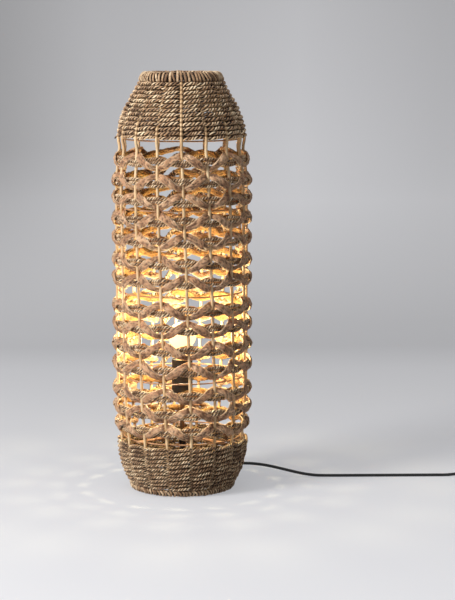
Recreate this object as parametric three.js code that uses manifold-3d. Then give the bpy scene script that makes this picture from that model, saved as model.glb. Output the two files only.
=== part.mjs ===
// Rattan floor lamp: a woven tube of seagrass cord and hyacinth strand on 16 upright stakes,
// with a lampholder and bulb on a bracket inside, a mains lead, an in-line switch and a plug.
// Millimetres, +Z up. The origin is on the floor, on the lamp's axis. The front faces -Y.

import * as THREE from 'three';
import Module from 'manifold-3d';
import { mergeVertices } from 'three/addons/utils/BufferGeometryUtils.js';

const wasm = await Module();
wasm.setup();

// Overall sizes of the woven shell
const lampHeight = 900;
const capHeight = 143;
const basketHeight = 114;
const capBottomRadius = 139;
const capTopRadius = 90;
const bodyRadius = 139;
const basketTopRadius = 141;
const basketBottomRadius = 117.5;
const flareHeight = 84;
const shellTwist = 8.4;

// Stakes, hoops and the gaps between neighbours
const stakeCount = 16;
const stakeDiameter = 6.6;
const hoopWire = 3;
const seatGap = 0.3;
const strandClearance = 2.1;

// Rims
const topRimHeight = 22;
const topRimWidth = 16;
const topRimRadius = 87.5;
const bottomRimHeight = 15;
const bottomRimWidth = 22;
const footWidth = 10;

// Seagrass rows of the cap and the basket
const capRows = 13;
const basketRows = 11;
const wallDepth = 6;
const wallClearance = 0.5;
const rowGap = 0.6;
const rowCrownShare = 0.62;
const rowInnerShare = 0.93;

// Open rows in the middle: a flat hyacinth strand that waves, and a pair of cords
const rowHeightShares = [
  0.933, 0.867, 0.807, 0.741, 0.674, 0.602, 0.54, 0.448, 0.388, 0.318, 0.251, 0.167, 0.106, 0.048,
];
const hoopBelowRows = [3, 7, 11];
const strandWidth = 14;
const strandPinch = 11.6;
const strandThickness = 4.6;
const strandRowGap = 0.5;
const strandLean = 22.5;
const shoulderShare = 0.27;
const tailShare = 0.25;
const cordPairHeight = 10.4;
const cordPairDepth = 4.8;
const seamStake = 8;

// Bracket and stem
const barWidth = 14;
const barThickness = 3;
const bossRadius = 16;
const stemDiameter = 10;
const stemBore = 7.4;
const stemBelowBracket = 20;
const nutAcrossFlats = 17;
const nutHeight = 5;
const bushRadius = 8;
const bushTipRadius = 4.8;
const bushLength = 24;
const bushOverlap = 6;
const barStake = 5.5;

// Lampholder and bulb
const holderBottom = 204;
const holderHeight = 77;
const holderRadius = 22.4;
const holderWall = 2.4;
const holderBaseHeight = 28;
const holderRounding = 7;
const insertHeight = 34;
const insertFloor = 5.5;
const insertBoreRadius = 14.2;
const bulbCapRadius = 13.2;
const bulbCapLength = 24;
const bulbContactRadius = 5;
const bulbContactHeight = 3;
const bulbRadius = 30;
const bulbGlassLength = 82;
const bulbNeckRadius = 13.6;
const bulbWall = 1;

// Mains lead, switch and plug
const flexDiameter = 6.5;
const coilOuterRadius = 42;
const coilPitch = 7;
const coilLayerRise = 7;
const coilTurns = 4.5;
const switchLength = 68;
const switchWidth = 28;
const switchHeight = 20;
const switchEdge = 3;
const buttonRadius = 7;
const buttonTravel = 2.5;
const buttonProud = 3.2;
const buttonGap = 0.4;
const buttonDepth = 5;
const plugLength = 36;
const plugWidth = 26;
const plugHeight = 14;
const plugNoseWidth = 13;
const plugTaperShare = 0.45;
const pinDiameter = 4;
const pinLength = 19;
const pinSpacing = 18.6;

// Sides and steps of the round shapes
const stakeSides = 6;
const hoopSides = 3;
const latheSteps = 20;
const smallSteps = 12;
const flexSides = 8;
const flexStepDiameters = 2.6;
const coilSteps = 20;
const coilSides = 6;

// Heights that follow from the sizes above
const degree = Math.PI / 180;
const capBottom = lampHeight - capHeight;
const capTop = lampHeight - topRimHeight - seatGap;
const basketBottom = bottomRimHeight + seatGap;
const stakeRadius = stakeDiameter / 2;
const stakeSpacing = 2 * Math.PI / stakeCount;
const openHeight = capBottom - basketHeight;
const holderTop = holderBottom + holderHeight;
const bracketHeight = basketHeight + hoopWire;
const stemBottom = bracketHeight - stemBelowBracket;

// Colours of the materials
const finishes = {
  stake: { color: 0xdfc193, roughness: 0.6, metalness: 0 },
  hyacinth: { color: 0xb98a5c, roughness: 0.8, metalness: 0 },
  seagrass: { color: 0x8d7350, roughness: 0.85, metalness: 0 },
  wire: { color: 0xc9a27e, roughness: 0.5, metalness: 0.2 },
  steel: { color: 0x6b5a48, roughness: 0.45, metalness: 0.7 },
  nickel: { color: 0xb9b6ae, roughness: 0.35, metalness: 0.9 },
  black: { color: 0x161616, roughness: 0.45, metalness: 0 },
  glass: { color: 0xffe2b0, roughness: 0.15, metalness: 0 },
};

const lamp = new THREE.Group();

function place(name, geometry, finish, parent = lamp) {
  const mesh = new THREE.Mesh(geometry, new THREE.MeshStandardMaterial(finishes[finish]));
  mesh.name = name;
  parent.add(mesh);
  return mesh;
}

// A point from its angle about the axis, its radius and its height
function polar(angle, radius, height) {
  return new THREE.Vector3(radius * Math.cos(angle), radius * Math.sin(angle), height);
}

// A closed mesh from points and triangles, turned to face outwards
function closedMesh(points, faces) {
  let volume = 0;
  for (const [a, b, c] of faces) {
    volume += points[a].dot(new THREE.Vector3().crossVectors(points[b], points[c]));
  }
  const facing = volume > 0 ? faces : faces.map(([a, b, c]) => [a, c, b]);
  const geometry = new THREE.BufferGeometry().setFromPoints(points);
  geometry.setIndex(facing.flat());
  geometry.computeVertexNormals();
  return geometry;
}

// Joins rings of points in order, closed into a loop or with an end face at each end
function loft(rings, loop = false) {
  const sides = rings[0].length;
  const faces = [];
  const spans = loop ? rings.length : rings.length - 1;
  for (let i = 0; i < spans; i += 1) {
    const here = i * sides;
    const there = ((i + 1) % rings.length) * sides;
    for (let j = 0; j < sides; j += 1) {
      const k = (j + 1) % sides;
      faces.push([here + j, there + j, there + k], [here + j, there + k, here + k]);
    }
  }
  if (!loop) {
    const last = (rings.length - 1) * sides;
    for (let j = 1; j < sides - 1; j += 1) {
      faces.push([0, j, j + 1], [last, last + j + 1, last + j]);
    }
  }
  return closedMesh(rings.flat(), faces);
}

// A ring of points in the plane through the axis at an angle, from places along and across a wall
function wallSection(angle, corners) {
  return corners.map((corner) => polar(angle, corner.x, corner.y));
}

// A turned solid from a closed profile of radius and height
function turned(profile, steps = latheSteps) {
  const points = profile.map(([radius, height]) => new THREE.Vector2(radius, height));
  points.push(points[0].clone());
  const geometry = new THREE.LatheGeometry(points, steps);
  geometry.deleteAttribute('normal');
  geometry.deleteAttribute('uv');
  geometry.rotateX(Math.PI / 2);
  return outward(mergeVertices(geometry));
}

// The same mesh with its triangles facing out and none of them flat
function outward(geometry) {
  const position = geometry.getAttribute('position');
  const points = [];
  for (let i = 0; i < position.count; i += 1) {
    points.push(new THREE.Vector3().fromBufferAttribute(position, i));
  }
  const index = geometry.getIndex().array;
  const faces = [];
  for (let i = 0; i < index.length; i += 3) {
    const [a, b, c] = [index[i], index[i + 1], index[i + 2]];
    if (a !== b && b !== c && a !== c) {
      faces.push([a, b, c]);
    }
  }
  return closedMesh(points, faces);
}

function toSolid(geometry) {
  const plain = geometry.clone();
  plain.deleteAttribute('normal');
  plain.deleteAttribute('uv');
  const merged = mergeVertices(plain);
  const vertProperties = new Float32Array(merged.getAttribute('position').array);
  const triVerts = new Uint32Array(merged.getIndex().array);
  return new wasm.Manifold(new wasm.Mesh({ numProp: 3, vertProperties, triVerts }));
}

function fromSolid(solid) {
  const mesh = solid.getMesh();
  const geometry = new THREE.BufferGeometry();
  geometry.setAttribute('position', new THREE.BufferAttribute(mesh.vertProperties, 3));
  geometry.setIndex(new THREE.BufferAttribute(mesh.triVerts, 1));
  geometry.computeVertexNormals();
  return geometry;
}

// Outer outlines of the cap and the basket, as radius against height, from the bottom up
function outline(bottom, top, bottomRadius, topRadius, shares) {
  return new THREE.SplineCurve(shares.map(([rise, swing]) => new THREE.Vector2(
    bottomRadius + (topRadius - bottomRadius) * swing,
    bottom + (top - bottom) * rise,
  )));
}

const capShares = [[0, 0], [0.14, 0.09], [0.31, 0.26], [0.66, 0.66], [1, 1]];
const basketShares = [[0, 0], [0.29, 0.58], [0.63, 0.92], [0.85, 1.02], [1, 1]];
const capOutline = outline(capBottom, capTop, capBottomRadius, capTopRadius, capShares);
const basketOutline = outline(basketBottom, basketHeight, basketBottomRadius, basketTopRadius, basketShares);

// The place on a wall at a share of its outline, moved inwards and along it
function onWall(curve, share, inwards, along = 0) {
  const tangent = curve.getTangentAt(share);
  const point = curve.getPointAt(share);
  return new THREE.Vector2(
    point.x - tangent.y * inwards + tangent.x * along,
    point.y + tangent.x * inwards + tangent.y * along,
  );
}

// Lengthens a line's first or last stretch until it reaches a height
function reachHeight(from, end, height) {
  const share = (height - from.y) / (end.y - from.y);
  return from.clone().lerp(end, share);
}

// The centre line that every stake follows, as radius against height, from the bottom up
function stakeLine() {
  const inwards = wallDepth + wallClearance + stakeRadius;
  const walls = [0, 0.5, 1];
  const low = walls.map((share) => onWall(basketOutline, share, inwards));
  const high = walls.map((share) => onWall(capOutline, share, inwards));
  low[0] = reachHeight(low[1], low[0], basketBottom);
  high[2] = reachHeight(high[1], high[2], capTop);
  const open = [
    new THREE.Vector2(bodyRadius, basketHeight + flareHeight),
    new THREE.Vector2(bodyRadius, (basketHeight + capBottom) / 2),
    new THREE.Vector2(bodyRadius, capBottom - flareHeight),
  ];
  return [...low, ...open, ...high];
}

const stakePlaces = stakeLine();

function stakeRadiusAt(height) {
  let i = 1;
  while (i < stakePlaces.length - 1 && stakePlaces[i].y < height) {
    i += 1;
  }
  const [lower, upper] = [stakePlaces[i - 1], stakePlaces[i]];
  const share = (height - lower.y) / (upper.y - lower.y);
  return lower.x + (upper.x - lower.x) * share;
}

// The shell was woven with a slight twist: a stake's angle shifts as it comes down the open part
function stakeAngle(stake, height) {
  const down = THREE.MathUtils.clamp((capBottom - height) / openHeight, 0, 1);
  return stake * stakeSpacing - Math.PI / 2 + shellTwist * degree * down;
}

function makeStake(stake) {
  const rings = stakePlaces.map((position) => {
    const angle = stakeAngle(stake, position.y);
    const centre = polar(angle, position.x, position.y);
    return roundSection(centre, angle, stakeRadius, stakeSides);
  });
  return loft(rings);
}

// A level polygon round a centre, with a flat towards the axis and one away from it
function roundSection(centre, angle, radius, sides) {
  const ring = [];
  for (let i = 0; i < sides; i += 1) {
    const turn = angle + (i + 1 / 2) * 2 * Math.PI / sides;
    ring.push(centre.clone().add(polar(turn, radius, 0)));
  }
  return ring;
}

// The stakes in the order in which a row passes them: it starts and ends at the seam behind
function stakesOfARow() {
  return Array.from({ length: stakeCount }, (unused, i) => (seamStake + 1 + i) % stakeCount);
}

// Seagrass wound round the stakes in level rows, and stepping up to the next row at the seam
function makeWallWinding(curve, rows, seamHeight) {
  const half = curve.getLength() / rows / 2 - rowGap / 2;
  const rings = [];
  for (let row = 0; row < rows; row += 1) {
    const share = (row + 1 / 2) / rows;
    const corners = [
      onWall(curve, share, 0, -half * rowCrownShare),
      onWall(curve, share, 0, half * rowCrownShare),
      onWall(curve, share, wallDepth, half * rowInnerShare),
      onWall(curve, share, wallDepth, -half * rowInnerShare),
    ];
    for (const stake of stakesOfARow()) {
      rings.push(wallSection(stakeAngle(stake, seamHeight), corners));
    }
  }
  printLeastGap(rings, curve.getLength() / rows - 2 * half);
  return loft(rings);
}

// The least distance between a winding's points and those one turn further on
function printLeastGap(rings, expected) {
  let least = Infinity;
  for (let i = 0; i + stakeCount < rings.length; i += 1) {
    for (const point of rings[i]) {
      for (const other of rings[i + stakeCount]) {
        least = Math.min(least, point.distanceTo(other));
      }
    }
  }
  console.log(`least gap between turns ${least.toFixed(2)} mm, meant ${expected.toFixed(2)} mm`);
}

// Open rows, counted from the top: heights, and the room that each strand has above and below
const rowHeights = rowHeightShares.map((share) => basketHeight + openHeight * share);

function roomBeside(row, side) {
  const other = row - side;
  if (other < 0 || other >= rowHeights.length) {
    return strandWidth + cordPairHeight;
  }
  const between = Math.min(row, other) + 1;
  const hoop = hoopBelowRows.includes(between) ? hoopWire / 2 : 0;
  return Math.abs(rowHeights[row] - rowHeights[other]) / 2 - hoop - strandRowGap / 2;
}

// The circle that the front of a row follows: it touches the stakes' line and leans as the row does
function rowRadiusAt(row, height) {
  const middle = rowHeights[row];
  const upper = stakeRadiusAt(middle + strandWidth);
  const lower = stakeRadiusAt(middle - strandWidth);
  return stakeRadiusAt(middle) + (upper - lower) / (2 * strandWidth) * (height - middle);
}

// One strand goes round twice: first over the cords between the stakes, then behind them
function makeHyacinthRow(row) {
  const height = rowHeights[row];
  const circle = stakeRadiusAt(height);
  const behind = -stakeRadius - strandClearance - strandThickness / 2;
  const bulge = Math.cos(stakeSpacing / 2) / Math.cos(stakeSpacing * (1 / 2 - shoulderShare));
  const cordFace = (circle + stakeRadius + seatGap + cordPairDepth) * bulge;
  const front = cordFace + seatGap + strandThickness / 2 - circle;
  const lean = strandLean * degree;
  const side = (stake) => ((stake + row) % 2 === 0 ? 1 : -1);

  // The half width at a shoulder fits between the cords and the neighbouring row
  const shoulder = (up) => {
    const lower = cordPairHeight / 2 + seatGap;
    const room = Math.min(roomBeside(row, up) - lower, strandWidth * Math.cos(lean));
    return { rise: lower + room / 2, half: room / 2 / Math.cos(lean) };
  };
  const peak = (up) => Math.min(roomBeside(row, up) - strandPinch / 2, shoulder(up).rise + stakeRadius / 2);

  const rings = [];
  const addSection = (angle, out, rise, half, tilt = 0) => {
    const thick = strandThickness / 2;
    const crown = half * rowCrownShare;
    const corners = [[out + thick, -crown], [out + thick, crown], [out - thick, half], [out - thick, -half]];
    rings.push(corners.map(([away, along]) => {
      const level = height + rise + along * Math.cos(tilt);
      const radius = out > 0 ? rowRadiusAt(row, level) : stakeRadiusAt(level);
      return polar(angle + along * Math.sin(tilt) / circle, radius + away, level);
    }));
  };

  const stakes = stakesOfARow();
  const first = stakes[0];
  const last = stakes[stakes.length - 1];
  const tail = tailShare * stakeSpacing;
  addSection(stakeAngle(first, height) - tail, behind, side(first) * peak(side(first)), strandPinch / 3);
  stakes.forEach((stake) => {
    const up = side(stake);
    const angle = stakeAngle(stake, height);
    addSection(angle, behind, up * peak(up), strandPinch / 2);
    if (stake !== last) {
      const near = shoulder(up);
      const far = shoulder(-up);
      addSection(angle + shoulderShare * stakeSpacing, front, up * near.rise, near.half, up * lean);
      addSection(angle + (1 - shoulderShare) * stakeSpacing, front, -up * far.rise, far.half, up * lean);
    }
  });
  stakes.forEach((stake) => {
    const up = -side(stake);
    addSection(stakeAngle(stake, height), behind, up * peak(up), strandPinch / 2);
  });
  addSection(stakeAngle(last, height) + tail, behind, -side(last) * peak(-side(last)), strandPinch / 3);
  return loft(rings);
}

// The pair of cords is one long winding in front of the stakes, a turn to each open row
function makeCordWinding() {
  const rings = [];
  const half = cordPairHeight / 2;
  const inner = stakeRadius + seatGap;
  const outer = inner + cordPairDepth;
  const crown = half * rowCrownShare;
  const corners = [[inner, -half], [inner, half], [outer, crown], [outer, -crown]];
  rowHeights.forEach((height, row) => {
    for (const stake of stakesOfARow()) {
      rings.push(corners.map(([out, rise]) => polar(
        stakeAngle(stake, height),
        rowRadiusAt(row, height + rise) + out,
        height + rise,
      )));
    }
  });
  printLeastGap(rings, Math.abs(rowHeights[1] - rowHeights[2]) - cordPairHeight);
  return loft(rings);
}

function makeTopRim() {
  const [inner, outer] = [topRimRadius - topRimWidth, topRimRadius];
  const [low, high] = [lampHeight - topRimHeight, lampHeight];
  const [edge, drop] = [topRimWidth / 4, topRimHeight / 4];
  return turned([
    [inner + edge, low],
    [outer - edge / 2, low],
    [outer + edge / 2, low + drop],
    [outer, high - drop],
    [outer - edge, high],
    [inner + edge, high],
    [inner, high - drop],
    [inner, low + drop],
  ]);
}

function makeBottomRim() {
  const outer = basketBottomRadius;
  const inner = outer - bottomRimWidth;
  const edge = bottomRimHeight / 3;
  return turned([
    [inner + edge / 2, 0],
    [inner + edge / 2 + footWidth, 0],
    [outer - edge, edge],
    [outer, 2 * edge],
    [outer - edge / 3, bottomRimHeight],
    [inner + edge, bottomRimHeight],
    [inner, bottomRimHeight / 2],
  ]);
}

// A welded wire hoop that lies inside the stakes
function hoopRadiusAt(height) {
  return stakeRadiusAt(height) - stakeRadius - seatGap - hoopWire / 2;
}

function makeHoop(height) {
  const radius = hoopRadiusAt(height);
  const rings = [];
  for (let i = 0; i < 2 * stakeCount; i += 1) {
    const angle = stakeAngle(i / 2, height);
    const ring = [];
    for (let j = 0; j < hoopSides; j += 1) {
      const turn = 2 * Math.PI * j / hoopSides;
      ring.push(polar(angle, radius + hoopWire / 2 * Math.cos(turn), height + hoopWire / 2 * Math.sin(turn)));
    }
    rings.push(ring);
  }
  return loft(rings, true);
}

// The lowest hoop carries two crossed flat bars with a boss for the stem
function makeBracket() {
  const hoop = toSolid(makeHoop(bracketHeight));
  const reach = hoopRadiusAt(bracketHeight);
  const top = bracketHeight - hoopWire / 4;
  const bar = new THREE.BoxGeometry(2 * reach, barWidth, barThickness);
  const turn = stakeAngle(barStake, bracketHeight);
  bar.translate(0, 0, top - barThickness / 2);
  const first = toSolid(bar.clone().rotateZ(turn));
  const second = toSolid(bar.clone().rotateZ(turn + Math.PI / 2));
  const boss = new THREE.CylinderGeometry(bossRadius, bossRadius, barThickness + hoopWire / 2, smallSteps);
  boss.rotateX(Math.PI / 2).translate(0, 0, top - barThickness / 2);
  const hole = new THREE.CylinderGeometry(stemHole(), stemHole(), bossRadius, smallSteps);
  hole.rotateX(Math.PI / 2).translate(0, 0, top);
  const body = hoop.add(first).add(second).add(toSolid(boss)).subtract(toSolid(hole));
  return fromSolid(body);
}

function stemHole() {
  return stemDiameter / 2 + seatGap;
}

// Faces of the bracket's boss
function bossFaces() {
  const middle = bracketHeight - hoopWire / 4 - barThickness / 2;
  const half = (barThickness + hoopWire / 2) / 2;
  return { top: middle + half, bottom: middle - half };
}

function makeStem() {
  const top = holderBottom + holderWall + nutHeight;
  return turned([
    [stemDiameter / 2, stemBottom],
    [stemDiameter / 2, top],
    [stemBore / 2, top],
    [stemBore / 2, stemBottom],
  ], smallSteps);
}

function makeNut(bottom) {
  const shape = new THREE.Shape();
  const corner = nutAcrossFlats / 2 / Math.cos(Math.PI / 6);
  for (let i = 0; i < 6; i += 1) {
    const turn = i * Math.PI / 3;
    shape[i === 0 ? 'moveTo' : 'lineTo'](corner * Math.cos(turn), corner * Math.sin(turn));
  }
  shape.closePath();
  const hole = new THREE.Path();
  hole.absarc(0, 0, stemHole(), 0, 2 * Math.PI, true);
  shape.holes.push(hole);
  const nut = new THREE.ExtrudeGeometry(shape, { depth: nutHeight, bevelEnabled: false, curveSegments: 6 });
  return nut.translate(0, 0, bottom);
}

// The tapered bush that grips the lead where it comes out of the stem
function makeCordBush() {
  const top = stemBottom + bushOverlap;
  const bottom = top - bushLength;
  const grip = stemBottom - seatGap;
  return turned([
    [stemHole(), top],
    [bushRadius, top],
    [bushRadius, grip],
    [bushTipRadius, bottom],
    [flexDiameter / 2, bottom],
    [flexDiameter / 2, grip],
    [stemHole(), grip],
  ], smallSteps);
}

// The lower cup of the lampholder, rounded below, with the stem through its floor
function makeHolderBase() {
  const top = holderBottom + holderBaseHeight;
  const [outer, inner] = [holderRadius, holderRadius - holderWall];
  return turned([
    [stemHole(), holderBottom],
    [outer - holderRounding, holderBottom],
    [outer - holderRounding / 3, holderBottom + holderRounding / 3],
    [outer, holderBottom + holderRounding],
    [outer, top],
    [inner, top],
    [inner, holderBottom + holderRounding],
    [inner - holderRounding / 2, holderBottom + holderWall],
    [stemHole(), holderBottom + holderWall],
  ]);
}

function makeHolderShell() {
  const bottom = holderBottom + holderBaseHeight + seatGap;
  const [outer, inner] = [holderRadius, holderRadius - holderWall];
  return turned([
    [inner, bottom],
    [outer, bottom],
    [outer, holderTop - holderWall / 2],
    [outer - holderWall / 2, holderTop],
    [inner, holderTop],
  ]);
}

// The inner part of the lampholder, with the floor that the bulb's contact sits on
function insertBottom() {
  return holderTop - holderWall / 2 - insertHeight;
}

function makeHolderInsert() {
  const outer = holderRadius - holderWall - seatGap;
  const bottom = insertBottom();
  const top = bottom + insertHeight;
  return turned([
    [0, bottom],
    [outer, bottom],
    [outer, top],
    [insertBoreRadius + holderWall / 2, top],
    [insertBoreRadius, top - holderWall],
    [insertBoreRadius, bottom + insertFloor],
    [0, bottom + insertFloor],
  ]);
}

function bulbBottom() {
  return insertBottom() + insertFloor + seatGap;
}

function makeBulbContact() {
  const bottom = bulbBottom();
  return turned([
    [0, bottom],
    [bulbContactRadius / 2, bottom],
    [bulbContactRadius, bottom + bulbContactHeight],
    [0, bottom + bulbContactHeight],
  ], smallSteps);
}

function makeBulbCap() {
  const bottom = bulbBottom() + bulbContactHeight + seatGap;
  const top = bottom + bulbCapLength;
  const taper = bulbCapLength / 6;
  return turned([
    [0, bottom],
    [bulbContactRadius + taper / 2, bottom],
    [bulbCapRadius - taper / 4, bottom + taper],
    [bulbCapRadius, bottom + taper * 3 / 2],
    [bulbCapRadius, top - taper],
    [bulbCapRadius - taper / 4, top],
    [0, top],
  ], smallSteps);
}

const glassShares = [[0, -0.05], [0.12, 0.02], [0.3, 0.48], [0.47, 0.85], [0.62, 1]];

// One side of the bulb's glass, from its open neck to the axis at the top
function glassProfile(wall) {
  const bottom = bulbBottom() + bulbContactHeight + bulbCapLength + 2 * seatGap;
  const profile = glassShares.map(([rise, swell]) => [
    bulbNeckRadius + (bulbRadius - bulbNeckRadius) * swell - wall,
    bottom + bulbGlassLength * rise,
  ]);
  const [widest, level] = profile[profile.length - 1];
  const dome = bottom + bulbGlassLength - level - wall;
  const arcs = 3;
  for (let i = 1; i < arcs; i += 1) {
    const turn = i / arcs * Math.PI / 2;
    profile.push([widest * Math.cos(turn), level + dome * Math.sin(turn)]);
  }
  return [...profile, [0, level + dome]];
}

// The bulb's glass is a thin shell that opens into its cap
function makeBulbGlass() {
  return turned([...glassProfile(0), ...glassProfile(bulbWall).reverse()]);
}

// The lead's route to the switch, by hand: down out of the bush, out between two stakes, to the floor
const flexRoute = [
  [0, 0, 78.6], [0, 0, 66], [3.5, 2.5, 50], [14, 10, 37], [32, 23, 30.5], [58, 42, 29.5],
  [82, 59, 30], [103, 73, 30.5], [126, 83, 31], [150, 87, 30], [180, 88, 26.5], [208, 86.5, 21],
  [240, 84, 13.5], [268, 82, 7.5], [296, 80.5, 4], [330, 79.5, 3.4], [390, 79, 3.4], [450, 79, 3.4],
  [510, 79, 3.4], [560, 79, 3.4], [590, 79, 3.6], [610, 79, 5.6], [622, 79, 6.4], [632, 79, 6.5],
];
const switchPlace = [632.3, 79, 0];
const switchEntry = 6.5;
const coilCentre = [747, 37];

function routeCurve(points) {
  return new THREE.CatmullRomCurve3(points.map((point) => new THREE.Vector3(...point)), false, 'centripetal');
}

// A round tube along a curve, as an extrusion
function tube(curve, radius, steps, sides) {
  const shape = new THREE.Shape();
  for (let i = 0; i < sides; i += 1) {
    const turn = 2 * Math.PI * i / sides;
    shape[i === 0 ? 'moveTo' : 'lineTo'](radius * Math.cos(turn), radius * Math.sin(turn));
  }
  shape.closePath();
  return new THREE.ExtrudeGeometry(shape, { steps, extrudePath: curve, curveSegments: 1 });
}

// The lead between the bush and the switch
const flexPath = routeCurve(flexRoute);
const flexSteps = Math.round(flexPath.getLength() / flexDiameter / flexStepDiameters);

function makeFlex() {
  return tube(flexPath, flexDiameter / 2, flexSteps, flexSides);
}

// The basket's rows part round the lead where it comes through
function makeBasketWinding() {
  const winding = toSolid(makeWallWinding(basketOutline, basketRows, basketHeight));
  const passage = toSolid(tube(flexPath, flexDiameter / 2 + wallClearance, flexSteps, flexSides));
  return fromSolid(winding.subtract(passage));
}

// The spare lead: it spirals in on the floor, climbs in the middle half turn, and spirals out on top
function coilPoints() {
  const points = [];
  const [centreX, centreY] = coilCentre;
  const count = Math.round(coilTurns * coilSteps);
  const low = flexDiameter / 2 + wallClearance / 3;
  const climb = coilSteps / 2;
  for (let i = 0; i <= count; i += 1) {
    const angle = Math.PI / 2 - 2 * Math.PI * i / coilSteps;
    const climbed = THREE.MathUtils.clamp((i - (count - climb) / 2) / climb, 0, 1);
    const radius = coilOuterRadius - coilPitch * Math.min(i, count - i) / coilSteps;
    points.push([
      centreX + radius * Math.cos(angle),
      centreY + radius * Math.sin(angle),
      low + coilLayerRise * climbed,
    ]);
  }
  return points;
}

function coilRoute() {
  const start = switchPlace[0] + switchLength + seatGap;
  const lead = switchPlace[1];
  const points = coilPoints();
  const end = points[points.length - 1];
  const before = points[points.length - 2];
  const heading = new THREE.Vector2(end[0] - before[0], end[1] - before[1]).normalize();
  const run = (length, height) => [end[0] + heading.x * length, end[1] + heading.y * length, height];
  const low = points[0][2];
  return {
    points: [
      [start, lead, switchEntry],
      [start + flexDiameter * 1.2, lead, switchEntry],
      [start + flexDiameter * 3.5, lead, (switchEntry + low) / 2],
      [start + flexDiameter * 5.5, lead, low],
      ...points,
      run(flexDiameter * 3, end[2] - flexDiameter * 0.15),
      run(flexDiameter * 6, plugHeight / 2 + flexDiameter * 0.15),
      run(flexDiameter * 7.5, plugHeight / 2),
      run(flexDiameter * 8.7, plugHeight / 2),
    ],
    heading,
  };
}

function makeCoil() {
  const { points } = coilRoute();
  const path = routeCurve(points);
  const rings = [];
  const places = points.map((point) => new THREE.Vector3(...point));
  places.forEach((point, i) => {
    const before = places[Math.max(i - 1, 0)];
    const after = places[Math.min(i + 1, places.length - 1)];
    const ahead = after.clone().sub(before).normalize();
    const across = new THREE.Vector3().crossVectors(ahead, new THREE.Vector3(0, 0, 1)).normalize();
    const up = new THREE.Vector3().crossVectors(across, ahead);
    const ring = [];
    for (let j = 0; j < coilSides; j += 1) {
      const turn = 2 * Math.PI * j / coilSides;
      const arm = across.clone().multiplyScalar(Math.cos(turn)).addScaledVector(up, Math.sin(turn));
      ring.push(point.clone().addScaledVector(arm, flexDiameter / 2));
    }
    rings.push(ring);
  });
  printCoilGap(places);
  console.log(`lead: ${flexPath.getLength().toFixed(0)} mm to the switch, `
    + `${path.getLength().toFixed(0)} mm in and after the coil`);
  return loft(rings);
}

// The least distance between the coil's turns, from its points
function printCoilGap(places) {
  let least = Infinity;
  for (let i = 0; i < places.length; i += 1) {
    for (let j = i + coilSteps / 2; j < places.length; j += 1) {
      least = Math.min(least, places[i].distanceTo(places[j]) - flexDiameter);
    }
  }
  console.log(`least gap between the coil's turns ${least.toFixed(2)} mm`);
}

// A flat shape with rounded corners, drawn about its centre
function roundedShape(length, width, corner) {
  const [x, y] = [length / 2, width / 2];
  const shape = new THREE.Shape();
  shape.moveTo(x, y - corner);
  shape.absarc(x - corner, y - corner, corner, 0, Math.PI / 2);
  shape.absarc(corner - x, y - corner, corner, Math.PI / 2, Math.PI);
  shape.absarc(corner - x, corner - y, corner, Math.PI, Math.PI * 3 / 2);
  shape.absarc(x - corner, corner - y, corner, Math.PI * 3 / 2, Math.PI * 2);
  return shape;
}

// The in-line switch: a moulded case with a well for its button
function makeSwitchBody() {
  const shape = roundedShape(switchLength - 2 * switchEdge, switchWidth - 2 * switchEdge, switchWidth / 4);
  const body = new THREE.ExtrudeGeometry(shape, {
    depth: switchHeight - 2 * switchEdge,
    bevelSize: switchEdge,
    bevelThickness: switchEdge,
    bevelSegments: 1,
    curveSegments: 3,
  });
  body.translate(0, 0, switchEdge);
  const wellDepth = buttonDepth + buttonTravel + buttonGap;
  const wellRadius = buttonRadius + buttonGap;
  const well = new THREE.CylinderGeometry(wellRadius, wellRadius, 2 * wellDepth, smallSteps);
  well.rotateX(Math.PI / 2).translate(0, 0, switchHeight);
  return fromSolid(toSolid(body).subtract(toSolid(well)));
}

function makeSwitchButton() {
  const bottom = switchHeight - buttonDepth;
  const top = switchHeight + buttonProud;
  return turned([
    [0, bottom],
    [buttonRadius, bottom],
    [buttonRadius, top - buttonProud / 3],
    [buttonRadius - buttonProud / 3, top],
    [0, top],
  ], smallSteps);
}

// A flat two-pin plug that lies on the floor, its pins along +X of its own group
function makePlugBody() {
  const shape = new THREE.Shape();
  const [half, nose] = [plugWidth / 2, plugNoseWidth / 2];
  shape.moveTo(0, -nose);
  shape.lineTo(plugLength * plugTaperShare, -half);
  shape.lineTo(plugLength, -half);
  shape.lineTo(plugLength, half);
  shape.lineTo(plugLength * plugTaperShare, half);
  shape.lineTo(0, nose);
  shape.closePath();
  const edge = plugHeight / 5;
  const body = new THREE.ExtrudeGeometry(shape, {
    depth: plugHeight - 2 * edge,
    bevelSize: edge,
    bevelOffset: -edge,
    bevelThickness: edge,
    bevelSegments: 1,
  });
  return body.translate(0, 0, edge);
}

function makePlugPin(side) {
  const pin = new THREE.CylinderGeometry(pinDiameter / 2, pinDiameter / 2, pinLength, 8);
  pin.rotateZ(Math.PI / 2);
  return pin.translate(plugLength + seatGap + pinLength / 2, side * pinSpacing / 2, plugHeight / 2);
}

// The woven shell
for (let stake = 0; stake < stakeCount; stake += 1) {
  place(`stake_${String(stake + 1).padStart(2, '0')}`, makeStake(stake), 'stake');
}
rowHeights.forEach((height, row) => {
  place(`hyacinth_row_${String(row + 1).padStart(2, '0')}`, makeHyacinthRow(row), 'hyacinth');
});
place('cord_winding', makeCordWinding(), 'seagrass');
place('cap_winding', makeWallWinding(capOutline, capRows, capBottom), 'seagrass');
place('basket_winding', makeBasketWinding(), 'seagrass');
place('top_rim', makeTopRim(), 'seagrass');
place('bottom_rim', makeBottomRim(), 'seagrass');

// The wire hoops inside, from the top down
place('hoop_top', makeHoop(capBottom), 'wire');
hoopBelowRows.forEach((row, i) => {
  place(`hoop_${i + 2}`, makeHoop((rowHeights[row - 1] + rowHeights[row]) / 2), 'wire');
});

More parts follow.
